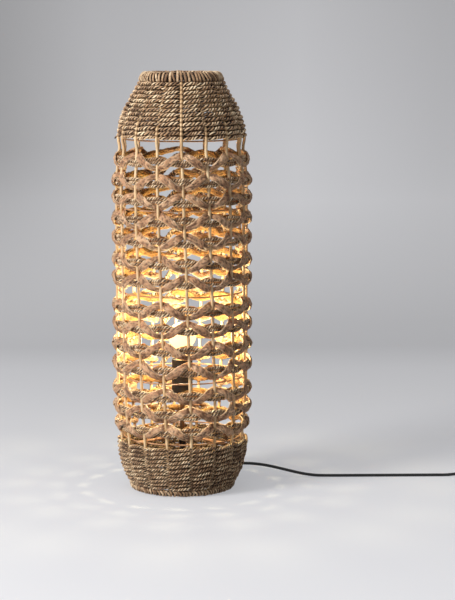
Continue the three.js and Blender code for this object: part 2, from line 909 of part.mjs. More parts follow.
// The lamp inside
place('bracket', makeBracket(), 'wire');
place('stem_tube', makeStem(), 'steel');
place('stem_nut_upper', makeNut(bossFaces().top + seatGap), 'steel');
place('stem_nut_lower', makeNut(bossFaces().bottom - seatGap - nutHeight), 'steel');
place('cord_bush', makeCordBush(), 'black');
place('holder_base', makeHolderBase(), 'black');
place('holder_shell', makeHolderShell(), 'black');
place('holder_insert', makeHolderInsert(), 'black');
place('bulb_contact', makeBulbContact(), 'nickel');
place('bulb_cap', makeBulbCap(), 'nickel');
place('bulb_glass', makeBulbGlass(), 'glass');

// The lead, with its switch and plug
place('flex', makeFlex(), 'black');
place('flex_coil', makeCoil(), 'black');
const switchGroup = new THREE.Group();
switchGroup.position.set(switchPlace[0] + switchLength / 2, switchPlace[1], switchPlace[2]);
lamp.add(switchGroup);
place('switch_body', makeSwitchBody(), 'black', switchGroup);
place('switch_button', makeSwitchButton(), 'black', switchGroup);
const plugGroup = new THREE.Group();
const tail = coilRoute();
const plugStart = tail.points[tail.points.length - 1];
plugGroup.position.set(plugStart[0] + tail.heading.x * seatGap, plugStart[1] + tail.heading.y * seatGap, 0);
plugGroup.rotation.z = tail.heading.angle();
lamp.add(plugGroup);
place('plug_body', makePlugBody(), 'black', plugGroup);
place('plug_pin_left', makePlugPin(1), 'nickel', plugGroup);
place('plug_pin_right', makePlugPin(-1), 'nickel', plugGroup);

export default lamp;
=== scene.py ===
import math

import bmesh
import bpy
from mathutils import Matrix, Vector, noise


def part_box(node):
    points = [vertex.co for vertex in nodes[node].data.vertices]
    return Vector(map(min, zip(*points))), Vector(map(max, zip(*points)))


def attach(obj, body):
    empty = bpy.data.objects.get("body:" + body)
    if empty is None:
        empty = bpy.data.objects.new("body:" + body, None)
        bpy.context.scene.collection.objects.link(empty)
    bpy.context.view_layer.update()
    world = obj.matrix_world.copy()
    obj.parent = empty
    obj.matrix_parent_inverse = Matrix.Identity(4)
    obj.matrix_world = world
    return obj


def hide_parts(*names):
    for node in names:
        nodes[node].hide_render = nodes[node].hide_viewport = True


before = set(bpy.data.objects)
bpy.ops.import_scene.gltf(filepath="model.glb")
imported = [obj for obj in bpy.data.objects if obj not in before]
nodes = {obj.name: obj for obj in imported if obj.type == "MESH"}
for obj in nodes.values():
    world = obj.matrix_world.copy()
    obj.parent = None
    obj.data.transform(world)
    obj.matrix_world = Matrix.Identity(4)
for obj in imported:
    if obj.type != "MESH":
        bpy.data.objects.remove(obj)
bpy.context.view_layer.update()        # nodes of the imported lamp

scene = bpy.context.scene


# Camera, at the photograph's viewing angle
camera = {"place": (0, -4.2, 0.983), "down": 7.78, "right": 1.339, "lens": 118.0, "film": 36, "reach": 40}


def makeCamera():
    data = bpy.data.cameras.new("photoView")
    data.lens = camera["lens"]
    data.sensor_width = camera["film"]
    data.clip_end = camera["reach"]
    view = bpy.data.objects.new("photoView", data)
    view.location = camera["place"]
    view.rotation_euler = (math.radians(90 - camera["down"]), 0, math.radians(-camera["right"]))
    scene.collection.objects.link(view)
    scene.camera = view


makeCamera()
print("camera placed")


# Colours as they look on screen, from 0 to 255
def paint(red, green, blue):
    def straight(value):
        value /= 255
        return value / 12.92 if value <= 0.04045 else ((value + 0.055) / 1.055) ** 2.4
    return (straight(red), straight(green), straight(blue), 1)


# A value at a share of the way from one to another
def mix(first, second, share):
    return first + (second - first) * share


def clamp(value, low=0.0, high=1.0):
    return min(max(value, low), high)


def smooth(low, high, value):
    t = clamp((value - low) / (high - low))
    return t * t * (3 - 2 * t)


def radial(angle):
    return Vector((math.cos(angle), math.sin(angle), 0))


def polar(angle, radius, height):
    return Vector((radius * math.cos(angle), radius * math.sin(angle), height))


def rotated(x, y, turn):
    return x * math.cos(turn) - y * math.sin(turn), x * math.sin(turn) + y * math.cos(turn)


# The sine and cosine at even steps through a quarter turn
def quarterTurn(steps, first=0):
    turns = [k / steps * math.pi / 2 for k in range(first, steps + 1)]
    return [(math.sin(turn), math.cos(turn)) for turn in turns]


# A curve between two points at a share of the way, by the slopes at both
def between(start, end, startSlope, endSlope, t):
    return (
        start * (2 * t ** 3 - 3 * t ** 2 + 1) + startSlope * (t ** 3 - 2 * t ** 2 + t)
        + end * (3 * t ** 2 - 2 * t ** 3) + endSlope * (t ** 3 - t ** 2)
    )


# One node with its settings and its inputs, which are values or sockets
def put(tree, kind, inputs=None, **settings):
    node = tree.nodes.new(kind)
    for name, value in settings.items():
        setattr(node, name, value)
    for key, value in (inputs or {}).items():
        if isinstance(value, bpy.types.NodeSocket):
            tree.links.new(value, node.inputs[key])
        else:
            node.inputs[key].default_value = value
    return node


def calc(tree, operation, *values):
    return put(tree, "ShaderNodeMath", dict(enumerate(values)), operation=operation).outputs[0]


def times(tree, first, second):
    return calc(tree, "MULTIPLY", first, second)


def plus(tree, first, second):
    return calc(tree, "ADD", first, second)


def minus(tree, first, second):
    return calc(tree, "SUBTRACT", first, second)


def timesPlus(tree, first, second, third):
    return calc(tree, "MULTIPLY_ADD", first, second, third)


def vectorCalc(tree, operation, *values):
    return put(tree, "ShaderNodeVectorMath", dict(enumerate(values)), operation=operation).outputs[0]


def stretched(tree, vector, factor):
    return put(tree, "ShaderNodeVectorMath", {0: vector, 3: factor}, operation="SCALE").outputs[0]


def dot(tree, first, second):
    return put(tree, "ShaderNodeVectorMath", {0: first, 1: second}, operation="DOT_PRODUCT").outputs["Value"]


def combined(tree, *parts):
    return put(tree, "ShaderNodeCombineXYZ", dict(enumerate(parts))).outputs[0]


def split(tree, vector):
    return put(tree, "ShaderNodeSeparateXYZ", {0: vector}).outputs


# A value from one range into another, eased at both ends
def eased(tree, value, low, high, start, end):
    inputs = {0: value, 1: low, 2: high, 3: start, 4: end}
    return put(tree, "ShaderNodeMapRange", inputs, interpolation_type="SMOOTHSTEP").outputs[0]


def newMaterial(name, roughness, **values):
    material = bpy.data.materials.new(name)
    material.use_nodes = True
    tree = material.node_tree
    surface = tree.nodes["Principled BSDF"]
    surface.inputs["Roughness"].default_value = roughness
    for key, value in values.items():
        surface.inputs[key.replace("_", " ")].default_value = value
    return material, tree, surface


def ramp(tree, factor, *stops):
    node = put(tree, "ShaderNodeValToRGB", {"Fac": factor})
    elements = node.color_ramp.elements
    while len(elements) < len(stops):
        elements.new(0.5)
    for element, (place, colour) in zip(elements, stops):
        element.position = place
        element.color = colour
    return node.outputs["Color"]


def blendColours(tree, kind, factor, first, second):
    inputs = {0: factor, 6: first, 7: second}
    return put(tree, "ShaderNodeMix", inputs, data_type="RGBA", blend_type=kind).outputs[2]


def speckle(tree, vector, scale, detail=3.0, roughness=0.55, distortion=0.0):
    return put(tree, "ShaderNodeTexNoise", {
        "Vector": vector, "Scale": scale, "Detail": detail, "Roughness": roughness, "Distortion": distortion,
    }).outputs["Fac"]


def readAttribute(tree, name):
    return put(tree, "ShaderNodeAttribute", attribute_name=name).outputs["Fac"]


def readVector(tree, name):
    return put(tree, "ShaderNodeAttribute", attribute_name=name).outputs["Vector"]


def objectPlace(tree):
    return put(tree, "ShaderNodeTexCoord").outputs["Object"]


def bump(tree, surface, height, strength, distance):
    node = put(tree, "ShaderNodeBump", {"Height": height, "Strength": strength, "Distance": distance})
    tree.links.new(node.outputs["Normal"], surface.inputs["Normal"])


# A place on a strand's skin: along its run, round it, and apart from the strands beside it
def skinPlace(tree, look, neighbour):
    turn = split(tree, readVector(tree, "turn"))
    aside = times(tree, readAttribute(tree, neighbour), look["apart"])
    return combined(
        tree, times(tree, readAttribute(tree, "run"), look["along"]), times(tree, turn[0], look["around"]),
        timesPlus(tree, turn[1], look["around"], aside),
    )


# A fine and a broad pattern in their shares
def toneOf(tree, look, fine, broad):
    return plus(tree, times(tree, fine, look["fineShare"]), times(tree, broad, look["broadShare"]))


def painted(tree, look, tone):
    return ramp(tree, tone, *zip(look["stops"], (look["dark"], look["middle"], look["light"])))


# Twisted seagrass: fibres run along each ply, the tan changes from leaf to leaf, and the grooves between
# plies get painted shade and the crests a painted highlight
seagrass = {
    "dark": paint(96, 64, 40), "middle": paint(184, 144, 106), "light": paint(248, 222, 184),
    "stops": (0.34, 0.50, 0.66), "along": 60.0, "around": 2.0, "apart": 9.0, "fineScale": 3.4,
    "fineShare": 0.58, "broadScale": 38.0, "broadShare": 0.44, "leafStep": 1.37, "leafChange": 0.26,
    "green": paint(138, 116, 82), "greenScale": 95.0, "greenShare": 0.16, "paintedGrooveShade": 0.04,
    "grooveFrom": 0.52, "grooveTo": 0.96, "paintedCrestLight": 1.22, "paintedShadeWarmth": (1.12, 1.24), "capPaintedLight": 1.14,
    "rimPaintedShade": 0.84, "insidePaintedShade": 0.46,
}


def makeSeagrass(name, paintedLightLevel):
    look = seagrass
    material, tree, surface = newMaterial(name, 0.72, Sheen_Weight=0.12, Sheen_Roughness=0.5)
    strands = speckle(tree, skinPlace(tree, look, "ply"), look["fineScale"], 5.0, 0.65)
    place = objectPlace(tree)
    patches = speckle(tree, place, look["broadScale"], 2.0, 0.6)
    leaf = timesPlus(tree, readAttribute(tree, "stroke"), look["leafStep"], readAttribute(tree, "row"))
    leaf = put(tree, "ShaderNodeTexWhiteNoise", {"W": leaf}, noise_dimensions="1D").outputs["Value"]
    tone = timesPlus(tree, minus(tree, leaf, 0.5), look["leafChange"], toneOf(tree, look, strands, patches))
    greening = times(tree, speckle(tree, place, look["greenScale"], 1.0, 0.5), look["greenShare"])
    colour = blendColours(tree, "MIX", greening, painted(tree, look, tone), look["green"])
    # Painted shade, warmer in the dark, in the grooves between plies and a painted highlight on the crests;
    # the level makes the whole copy lighter or darker as painted light or shade
    paintedCrestLight = look["paintedCrestLight"] * paintedLightLevel
    groove = readAttribute(tree, "groove")
    groove = eased(tree, groove, look["grooveFrom"], look["grooveTo"], look["paintedGrooveShade"], paintedCrestLight)
    shade = combined(tree, groove, *(calc(tree, "POWER", groove, power) for power in look["paintedShadeWarmth"]))
    tree.links.new(blendColours(tree, "MULTIPLY", 1.0, colour, shade), surface.inputs["Base Color"])
    bump(tree, surface, strands, 0.55, 0.0006)
    return material


# Dried hyacinth: a soft tan leaf folded into a strand, with painted shade in its long creases and a painted
# highlight along its sides; its loop behind the cords is darkened and yellowed as painted shade in the bulb's
# warm light
hyacinth = {
    "dark": paint(112, 72, 46), "middle": paint(206, 156, 116), "light": paint(252, 216, 176),
    "stops": (0.32, 0.50, 0.68), "along": 22.0, "around": 2.6, "apart": 7.3, "fineScale": 5.5,
    "fineShare": 0.52, "broadScale": 46.0, "broadShare": 0.50, "paintedEdgeLightFrom": 0.80, "paintedEdgeLightTo": 0.96,
    "paintedEdgeLightShare": 0.75, "crease": paint(66, 38, 22), "paintedCreaseShadeShare": 0.85, "inner": paint(206, 182, 84),
    "innerShare": 0.8, "glow": (1.0, 0.72, 0.38),
}


def makeHyacinth():
    look = hyacinth
    material, tree, surface = newMaterial(
        "hyacinthStrand", 0.60, Sheen_Weight=0.05, Sheen_Roughness=0.4, Subsurface_Weight=0.12,
        Subsurface_Scale=0.006, Subsurface_Radius=look["glow"],
    )
    fibres = speckle(tree, skinPlace(tree, look, "row"), look["fineScale"], 6.0, 0.7, 0.3)
    patches = speckle(tree, objectPlace(tree), look["broadScale"], 3.0, 0.55)
    colour = painted(tree, look, toneOf(tree, look, fibres, patches))
    # A painted highlight along the strand's sides
    side = calc(tree, "ABSOLUTE", split(tree, readVector(tree, "turn"))[0])
    edge = eased(tree, side, look["paintedEdgeLightFrom"], look["paintedEdgeLightTo"], 0.0, look["paintedEdgeLightShare"])
    colour = blendColours(tree, "MIX", edge, colour, look["light"])
    # Painted shade in the creases
    crease = times(tree, readAttribute(tree, "crease"), look["paintedCreaseShadeShare"])
    colour = blendColours(tree, "MIX", crease, colour, look["crease"])
    # The loop behind the cords is multiplied by a dark yellow: painted shade tinted like the bulb's warm
    # light
    inner = times(tree, readAttribute(tree, "inner"), look["innerShare"])
    paintedInnerShade = blendColours(tree, "MULTIPLY", 1.0, colour, look["inner"])
    tree.links.new(blendColours(tree, "MIX", inner, colour, paintedInnerShade), surface.inputs["Base Color"])
    bump(tree, surface, fibres, 0.9, 0.0018)
    return material


# Peeled rattan: cream, with fine lengthwise lines and darker patches, and painted shade where the cap's
# weavers wrap the stake
rattan = {
    "dark": paint(186, 144, 98), "middle": paint(228, 194, 148), "light": paint(244, 220, 180),
    "stops": (0.34, 0.5, 0.66), "wrap": paint(120, 84, 50), "stretch": 0.03, "fineScale": 900.0,
    "fineShare": 0.55, "broadScale": 14.0, "broadShare": 0.45,
}


def makeRattan():
    look = rattan
    material, tree, surface = newMaterial("peeledRattan", 0.48, Specular_IOR_Level=0.4)
    place = objectPlace(tree)
    grain = put(tree, "ShaderNodeMapping", {"Vector": place, "Scale": (1.0, 1.0, look["stretch"])}).outputs[0]
    lines = speckle(tree, grain, look["fineScale"], 4.0, 0.6)
    patches = speckle(tree, place, look["broadScale"], 2.0, 0.5)
    colour = painted(tree, look, toneOf(tree, look, lines, patches))
    # Painted shade in the notches where the weavers wrap the stake
    colour = blendColours(tree, "MIX", readAttribute(tree, "wrap"), colour, look["wrap"])
    tree.links.new(colour, surface.inputs["Base Color"])
    bump(tree, surface, lines, 0.25, 0.0003)
    return material


# Painted wire and steel: a thin coat with slight grain and worn patches
paintedMetal = {"patchScale": 60.0, "wornTo": 0.40, "wholeFrom": 0.56, "grainScale": 1400.0, "grain": 0.12}


def makePaintedMetal(name, colour, worn, roughness, metallic):
    look = paintedMetal
    material, tree, surface = newMaterial(name, roughness, Metallic=metallic)
    place = objectPlace(tree)
    patches = speckle(tree, place, look["patchScale"], 5.0, 0.6)
    mixed = ramp(tree, patches, (look["wornTo"], worn), (look["wholeFrom"], colour))
    tree.links.new(mixed, surface.inputs["Base Color"])
    bump(tree, surface, speckle(tree, place, look["grainScale"], 2.0, 0.5), look["grain"], 0.0002)
    return material


# Moulded plastic with a fine grain
plastic = {"patchScale": 30.0, "cleanTo": 0.42, "dustyFrom": 0.75, "grainScale": 1800.0}


def makePlastic(name, colour, dusty, roughness, grain):
    look = plastic
    material, tree, surface = newMaterial(name, roughness, Specular_IOR_Level=0.45)
    place = objectPlace(tree)
    patches = speckle(tree, place, look["patchScale"], 4.0, 0.6)
    mixed = ramp(tree, patches, (look["cleanTo"], colour), (look["dustyFrom"], dusty))
    tree.links.new(mixed, surface.inputs["Base Color"])
    bump(tree, surface, speckle(tree, place, look["grainScale"], 2.0, 0.6), grain, 0.0002)
    return material


nickel = {
    "dull": paint(172, 166, 156), "bright": paint(214, 210, 202), "stops": (0.35, 0.6), "scratchScale": 300.0,
}


def makeNickel():
    material, tree, surface = newMaterial("nickelPlate", 0.28, Metallic=1.0)
    scratches = speckle(tree, objectPlace(tree), nickel["scratchScale"], 5.0, 0.6)
    mixed = ramp(tree, scratches, *zip(nickel["stops"], (nickel["dull"], nickel["bright"])))
    tree.links.new(mixed, surface.inputs["Base Color"])
    bump(tree, surface, scratches, 0.1, 0.0001)
    return material


# The bulb's opal glass glows evenly, a little less at its neck
opal = {
    "white": paint(255, 238, 196), "warm": paint(255, 208, 130), "whiteFrom": 0.5, "glow": 1.0,
    "frostScale": 220.0,
}


def makeOpalGlass():
    material, tree, surface = newMaterial("opalGlass", 0.25, Specular_IOR_Level=0.5)
    place = objectPlace(tree)
    low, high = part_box("bulb_glass")
    up = put(tree, "ShaderNodeMapRange", {
        0: split(tree, place)["Z"], 1: low[2], 2: mix(low[2], high[2], opal["whiteFrom"]), 3: 0.0, 4: 1.0,
    }).outputs[0]
    colour = blendColours(tree, "MIX", up, opal["warm"], opal["white"])
    tree.links.new(colour, surface.inputs["Base Color"])
    tree.links.new(colour, surface.inputs["Emission Color"])
    surface.inputs["Emission Strength"].default_value = opal["glow"]
    bump(tree, surface, speckle(tree, place, opal["frostScale"], 2.0, 0.5), 0.05, 0.0002)
    return material


# Lit and shaded copies of the seagrass: the cap's copy is lighter as painted light, the rim's and the inside
# weaves' are darker as painted shade
finishes = {
    "seagrass": makeSeagrass("seagrassCord", 1.0),
    "seagrassCapWithPaintedLight": makeSeagrass("seagrassCapWithPaintedLight", seagrass["capPaintedLight"]),
    "seagrassRimWithPaintedShade": makeSeagrass("seagrassRimWithPaintedShade", seagrass["rimPaintedShade"]),
    "seagrassInsideWithPaintedShade": makeSeagrass("seagrassInsideWithPaintedShade", seagrass["insidePaintedShade"]),
    "hyacinth": makeHyacinth(),
    "rattan": makeRattan(),
    "wire": makePaintedMetal("paintedWire", paint(196, 150, 112), paint(150, 108, 76), 0.55, 0.05),
    "steel": makePaintedMetal("bronzeSteel", paint(126, 96, 66), paint(92, 68, 46), 0.42, 0.55),
    "holder": makePlastic("blackPhenolic", paint(15, 13, 12), paint(26, 22, 19), 0.40, 0.10),
    "plastic": makePlastic("blackPlastic", paint(20, 20, 21), paint(44, 44, 46), 0.5, 0.22),
    "sheath": makePlastic("leadSheath", paint(12, 12, 13), paint(30, 30, 32), 0.42, 0.12),
    "nickel": makeNickel(),
    "opal": makeOpalGlass(),
}
print("materials made")


# A mesh object at the origin, with its place in its mesh
def addPiece(name, mesh, finish, slot, body, *replaced):
    piece = bpy.data.objects.new(name, mesh)
    scene.collection.objects.link(piece)
    if finish and not mesh.materials:
        mesh.materials.append(finishes[finish])
    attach(piece, body)
    if replaced:
        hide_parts(*replaced)
    return piece


# A mesh with its faces outwards, and its doubles merged where asked
def meshOf(name, points, faces, soft=math.radians(40), merge=False):
    mesh = bpy.data.meshes.new(name)
    mesh.from_pydata([tuple(point) for point in points], [], faces)
    work = bmesh.new()
    work.from_mesh(mesh)
    if merge:
        bmesh.ops.remove_doubles(work, verts=work.verts, dist=1e-6)
        bmesh.ops.dissolve_degenerate(work, edges=work.edges, dist=1e-7)
    bmesh.ops.recalc_face_normals(work, faces=work.faces)
    work.to_mesh(mesh)
    work.free()
    mesh.shade_smooth()
    mesh.set_sharp_from_angle(angle=soft)
    return mesh


# Joins several meshes into one
def joined(name, meshes):
    work = bmesh.new()
    for mesh in meshes:
        work.from_mesh(mesh)
    result = bpy.data.meshes.new(name)
    work.to_mesh(result)
    work.free()
    for material in meshes[0].materials:
        result.materials.append(material)
    for mesh in meshes:
        bpy.data.meshes.remove(mesh)
    return result


# Points and triangles of rings in order, closed into a loop or with a fan at each end
def ringFaces(rings, loop):
    sides = len(rings[0])
    points = [point for ring in rings for point in ring]
    faces = []
    spans = len(rings) if loop else len(rings) - 1
    for i in range(spans):
        here, there = i * sides, ((i + 1) % len(rings)) * sides
        for j in range(sides):
            k = (j + 1) % sides
            faces.append((here + j, here + k, there + k, there + j))
    if not loop:
        for ring, start in ((rings[0], 0), (rings[-1], (len(rings) - 1) * sides)):
            centre = sum(ring, Vector()) / sides
            points.append(centre)
            for j in range(sides):
                faces.append((start + j, start + (j + 1) % sides, len(points) - 1))
    return points, faces


# A round rod along points, with a radius at each
def rodMesh(name, centres, radii, sides, loop=False):
    rings = []
    count = len(centres)
    side = None
    for i, centre in enumerate(centres):
        before = centres[i - 1] if loop or i > 0 else centre
        after = centres[(i + 1) % count] if loop or i < count - 1 else centre
        ahead = (after - before).normalized()
        if side is None:
            side = ahead.orthogonal().normalized()
        side = (side - ahead * side.dot(ahead)).normalized()
        other = ahead.cross(side)
        ring = []
        for j in range(sides):
            turn = math.tau * j / sides
            ring.append(centre + (side * math.cos(turn) + other * math.sin(turn)) * radii[i])
        rings.append(ring)
    return meshOf(name, *ringFaces(rings, loop))


# A turned solid about the Z axis from a closed profile of radius and height
def turnedMesh(name, profile, steps=64, soft=math.radians(32)):
    rings = [[polar(math.tau * i / steps, r, z) for r, z in profile] for i in range(steps)]
    return meshOf(name, *ringFaces(rings, True), soft, merge=True)


# Rounds the corners of a closed profile
def roundedProfile(profile, fillet, steps=3, turned=True):
    result = []
    count = len(profile)
    for i, (r, z) in enumerate(profile):
        here = Vector((r, z))
        before = Vector(profile[i - 1]) - here
        after = Vector(profile[(i + 1) % count]) - here
        size = min(fillet, before.length * 0.45, after.length * 0.45)
        if (turned and r < 1e-6) or size < 1e-5:
            result.append((r, z))
            continue
        start = here + before.normalized() * size
        end = here + after.normalized() * size
        for k in range(steps + 1):
            t = k / steps
            point = start * (1 - t) ** 2 + here * 2 * t * (1 - t) + end * t ** 2
            result.append((point.x, point.y))
    return result


# Points on a centripetal curve through the given ones
def smoothRoute(points, steps):
    places = [Vector(point) for point in points]
    places = [places[0] * 2 - places[1], *places, places[-1] * 2 - places[-2]]
    result = []
    for i in range(1, len(places) - 2):
        p0, p1, p2, p3 = places[i - 1:i + 3]
        d0, d1, d2 = (p1 - p0).length ** 0.5, (p2 - p1).length ** 0.5, (p3 - p2).length ** 0.5
        m1 = ((p1 - p0) / d0 - (p2 - p0) / (d0 + d1) + (p2 - p1) / d1) * d1
        m2 = ((p2 - p1) / d1 - (p3 - p1) / (d1 + d2) + (p3 - p2) / d2) * d1
        result += [between(p1, p2, m1, m2, k / steps) for k in range(steps)]
    return [*result, places[-2]]


# The lead: down out of the bush, out between two stakes, over the floor to the switch
lead = {
    "diameter": 0.0065,
    "route": [
        (0, 0, 0.0786), (0, 0, 0.066), (0.0035, 0.0025, 0.05), (0.014, 0.01, 0.037), (0.032, 0.023, 0.0305),
        (0.058, 0.042, 0.0295), (0.082, 0.059, 0.03), (0.103, 0.073, 0.0305), (0.126, 0.083, 0.031),
        (0.15, 0.087, 0.03), (0.18, 0.088, 0.0265), (0.208, 0.0865, 0.021), (0.24, 0.084, 0.0135),
        (0.268, 0.082, 0.0075), (0.296, 0.0805, 0.004), (0.33, 0.0795, 0.0034), (0.39, 0.079, 0.0034),
        (0.45, 0.079, 0.0034), (0.51, 0.079, 0.0034), (0.56, 0.079, 0.0034), (0.59, 0.079, 0.0036),
        (0.61, 0.079, 0.0056), (0.622, 0.079, 0.0064), (0.632, 0.079, 0.0065),
    ],
}
leadCoil = {
    "start": (0.7006, 0.079, 0.0065), "centre": (0.747, 0.037), "outer": 0.042, "pitch": 0.007,
    "rise": 0.007, "turns": 4.5, "steps": 20, "lift": 0.000167, "plugAxis": 0.007,
}


def coilRoute():
    d = lead["diameter"]
    x, y, entry = leadCoil["start"]
    steps = leadCoil["steps"]
    count = round(leadCoil["turns"] * steps)
    climb = steps / 2
    low = d / 2 + leadCoil["lift"]
    turns = []
    for i in range(count + 1):
        angle = math.pi / 2 - math.tau * i / steps
        climbed = min(max((i - (count - climb) / 2) / climb, 0), 1)
        radius = leadCoil["outer"] - leadCoil["pitch"] * min(i, count - i) / steps
        turns.append((
            leadCoil["centre"][0] + radius * math.cos(angle),
            leadCoil["centre"][1] + radius * math.sin(angle),
            low + leadCoil["rise"] * climbed,
        ))
    end, before = Vector(turns[-1]), Vector(turns[-2])
    heading = (end - before).to_2d().normalized()
    plugAxis = leadCoil["plugAxis"]
    after = [(3, end.z - 0.15 * d), (6, plugAxis + 0.15 * d), (7.5, plugAxis), (8.7, plugAxis)]
    return [
        (x, y, entry), (x + 1.2 * d, y, entry), (x + 3.5 * d, y, (entry + low) / 2), (x + 5.5 * d, y, low),
        *turns,
        *[(end.x + heading.x * run * d, end.y + heading.y * run * d, height) for run, height in after],
    ], heading


def makeLead(name, points, body="root"):
    data = bpy.data.curves.new(name, "CURVE")
    data.dimensions = "3D"
    data.bevel_depth = lead["diameter"] / 2
    data.bevel_resolution = 3
    data.use_fill_caps = True
    spline = data.splines.new("POLY")
    spline.points.add(len(points) - 1)
    for point, place in zip(spline.points, points):
        point.co = (*place, 1)
    spline.use_smooth = True
    data.materials.append(finishes["sheath"])
    piece = bpy.data.objects.new(name, data)
    scene.collection.objects.link(piece)
    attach(piece, body)
    return piece


# The outline of a moulded case, shrunk by an inset, as points in its own plane
def caseOutline(length, width, corner, inset, steps=6):
    x, y = length / 2 - inset, width / 2 - inset
    corner = max(corner - inset, 0.0005)
    points = []
    for quarter, (cx, cy) in enumerate(((x, y), (-x, y), (-x, -y), (x, -y))):
        cx -= math.copysign(corner, cx)
        cy -= math.copysign(corner, cy)
        for k in range(steps + 1):
            turn = (quarter + k / steps) * math.pi / 2
            points.append((cx + corner * math.cos(turn), cy + corner * math.sin(turn)))
    return points


# A case from stacked outlines, as height and inset
def caseMesh(name, outline, levels, place, turn=0.0):
    rings = []
    for height, inset in levels:
        flat = [rotated(x, y, turn) for x, y in outline(inset)]
        rings.append([Vector((place[0] + x, place[1] + y, place[2] + height)) for x, y in flat])
    return meshOf(name, *ringFaces(rings, False), math.radians(38))


# Takes one mesh out of another
def cutMesh(name, mesh, tool):
    target = bpy.data.objects.new(name, mesh)
    cutter = bpy.data.objects.new(name + "Cutter", tool)
    scene.collection.objects.link(target)
    scene.collection.objects.link(cutter)
    modifier = target.modifiers.new("cut", "BOOLEAN")
    modifier.object = cutter
    modifier.solver = "EXACT"
    graph = bpy.context.evaluated_depsgraph_get()
    result = bpy.data.meshes.new_from_object(target.evaluated_get(graph))
    bpy.data.objects.remove(target)
    bpy.data.objects.remove(cutter)
    result.shade_smooth()
    result.set_sharp_from_angle(angle=math.radians(38))
    return result


switch = {
    "middle": (0.6663, 0.079, 0), "length": 0.068, "width": 0.028, "height": 0.02, "corner": 0.011,
    "edge": 0.0032, "draft": 0.08, "buttonRadius": 0.007, "gap": 0.0004, "depth": 0.0079, "proud": 0.0032,
    "stem": 0.005, "crown": 0.0006, "dish": 0.0007, "seam": 0.0085, "seamDepth": 0.0004,
}
plug = {
    "length": 0.036, "width": 0.026, "nose": 0.013, "waist": 0.45, "height": 0.014, "edge": 0.24,
    "corner": 0.004, "pin": 0.004, "pinLength": 0.019, "spacing": 0.0186, "gap": 0.0003,
    "pinTip": ((0, 1), (0.3, 1), (0.6, 1), (0.9, 1), (0.96, 0.86), (0.99, 0.6), (1, 0.3)),
}


def makeSwitch():
    edge, height, seam, groove = switch["edge"], switch["height"], switch["seam"], switch["seamDepth"]
    draft = edge * switch["draft"]
    levels = [(0, edge * 0.4), (edge * 0.15, edge * 0.12), (edge * 0.4, 0), (seam - groove, 0),
              (seam, groove), (seam + groove, groove), (seam + 2 * groove, 0), (height - edge, draft)]
    for sine, cosine in quarterTurn(5, 1):
        levels.append((height - edge + edge * sine, draft + edge * (1 - cosine)))

    def outline(inset):
        return caseOutline(switch["length"], switch["width"], switch["corner"], inset)

    case = caseMesh("switchCase", outline, levels, switch["middle"])
    there = Matrix.Translation(switch["middle"])
    radius, bottom = switch["buttonRadius"] + switch["gap"], height - switch["depth"]
    over = height * 1.2
    well = turnedMesh("switchWell", [(0, bottom), (radius, bottom), (radius, over), (0, over)], 48)
    well.transform(there)
    case = cutMesh("switchCase", case, well)
    body = addPiece("switch_case", case, "plastic", "black_plastic", "root", "switch_body")
    r, crown = switch["buttonRadius"], switch["crown"]
    low, top = height - switch["stem"], height + switch["proud"]
    profile = [(0, low), (r, low), (r, top - crown), (r - crown, top), (r * 0.6, top - crown / 3)]
    profile.append((0, top - switch["dish"]))
    button = turnedMesh("footButton", roundedProfile(profile, crown), 48)
    button.transform(there)
    press = addPiece("foot_button", button, "plastic", "black_plastic", "button", "switch_button")
    return body, press


def makePlug(end, heading):
    turn = math.atan2(heading.y, heading.x)
    start = (end[0] + heading.x * plug["gap"], end[1] + heading.y * plug["gap"], 0)
    half, nose, length, height = plug["width"] / 2, plug["nose"] / 2, plug["length"], plug["height"]
    waist, edge = length * plug["waist"], height * plug["edge"]

    def outline(inset):
        shape = [(inset, -nose + inset * 0.6), (waist, -half + inset), (length - inset, -half + inset),
                 (length - inset, half - inset), (waist, half - inset), (inset, nose - inset * 0.6)]
        return roundedProfile(shape, plug["corner"], 4, turned=False)

    levels = [(0, edge * 0.5)]
    levels += [(edge * (1 - cosine) * 0.6, edge * (1 - sine) * 0.5) for sine, cosine in quarterTurn(4, 1)]
    levels.append((height - edge, 0))
    levels += [(height - edge + edge * sine, edge * (1 - cosine)) for sine, cosine in quarterTurn(5, 1)]
    case = caseMesh("plugCase", outline, levels, start, turn)
    pieces = [addPiece("plug_case", case, "plastic", "black_plastic", "root", "plug_body")]
    for side, node in ((1, "plug_pin_left"), (-1, "plug_pin_right")):
        centres, radii = [], []
        for share, narrow in plug["pinTip"]:
            run = length + plug["gap"] + plug["pinLength"] * share
            x, y = rotated(run, side * plug["spacing"] / 2, turn)
            centres.append(Vector((start[0] + x, start[1] + y, height / 2)))
            radii.append(plug["pin"] / 2 * narrow)
        pin = rodMesh(node, centres, radii, 20)
        pieces.append(addPiece(node + "_metal", pin, "nickel", "nickel", "root", node))
    return pieces


def makeCords():
    leadPoints = smoothRoute(lead["route"], 8)
    coilPoints, heading = coilRoute()
    tailPoints = smoothRoute(coilPoints, 4)
    first = makeLead("lead", leadPoints)
    second = makeLead("lead_coil", tailPoints)
    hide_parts("flex")
    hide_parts("flex_coil")
    switchPieces = makeSwitch()
    plugPieces = makePlug(coilPoints[-1], heading)


makeCords()
print("lead, switch and plug made")


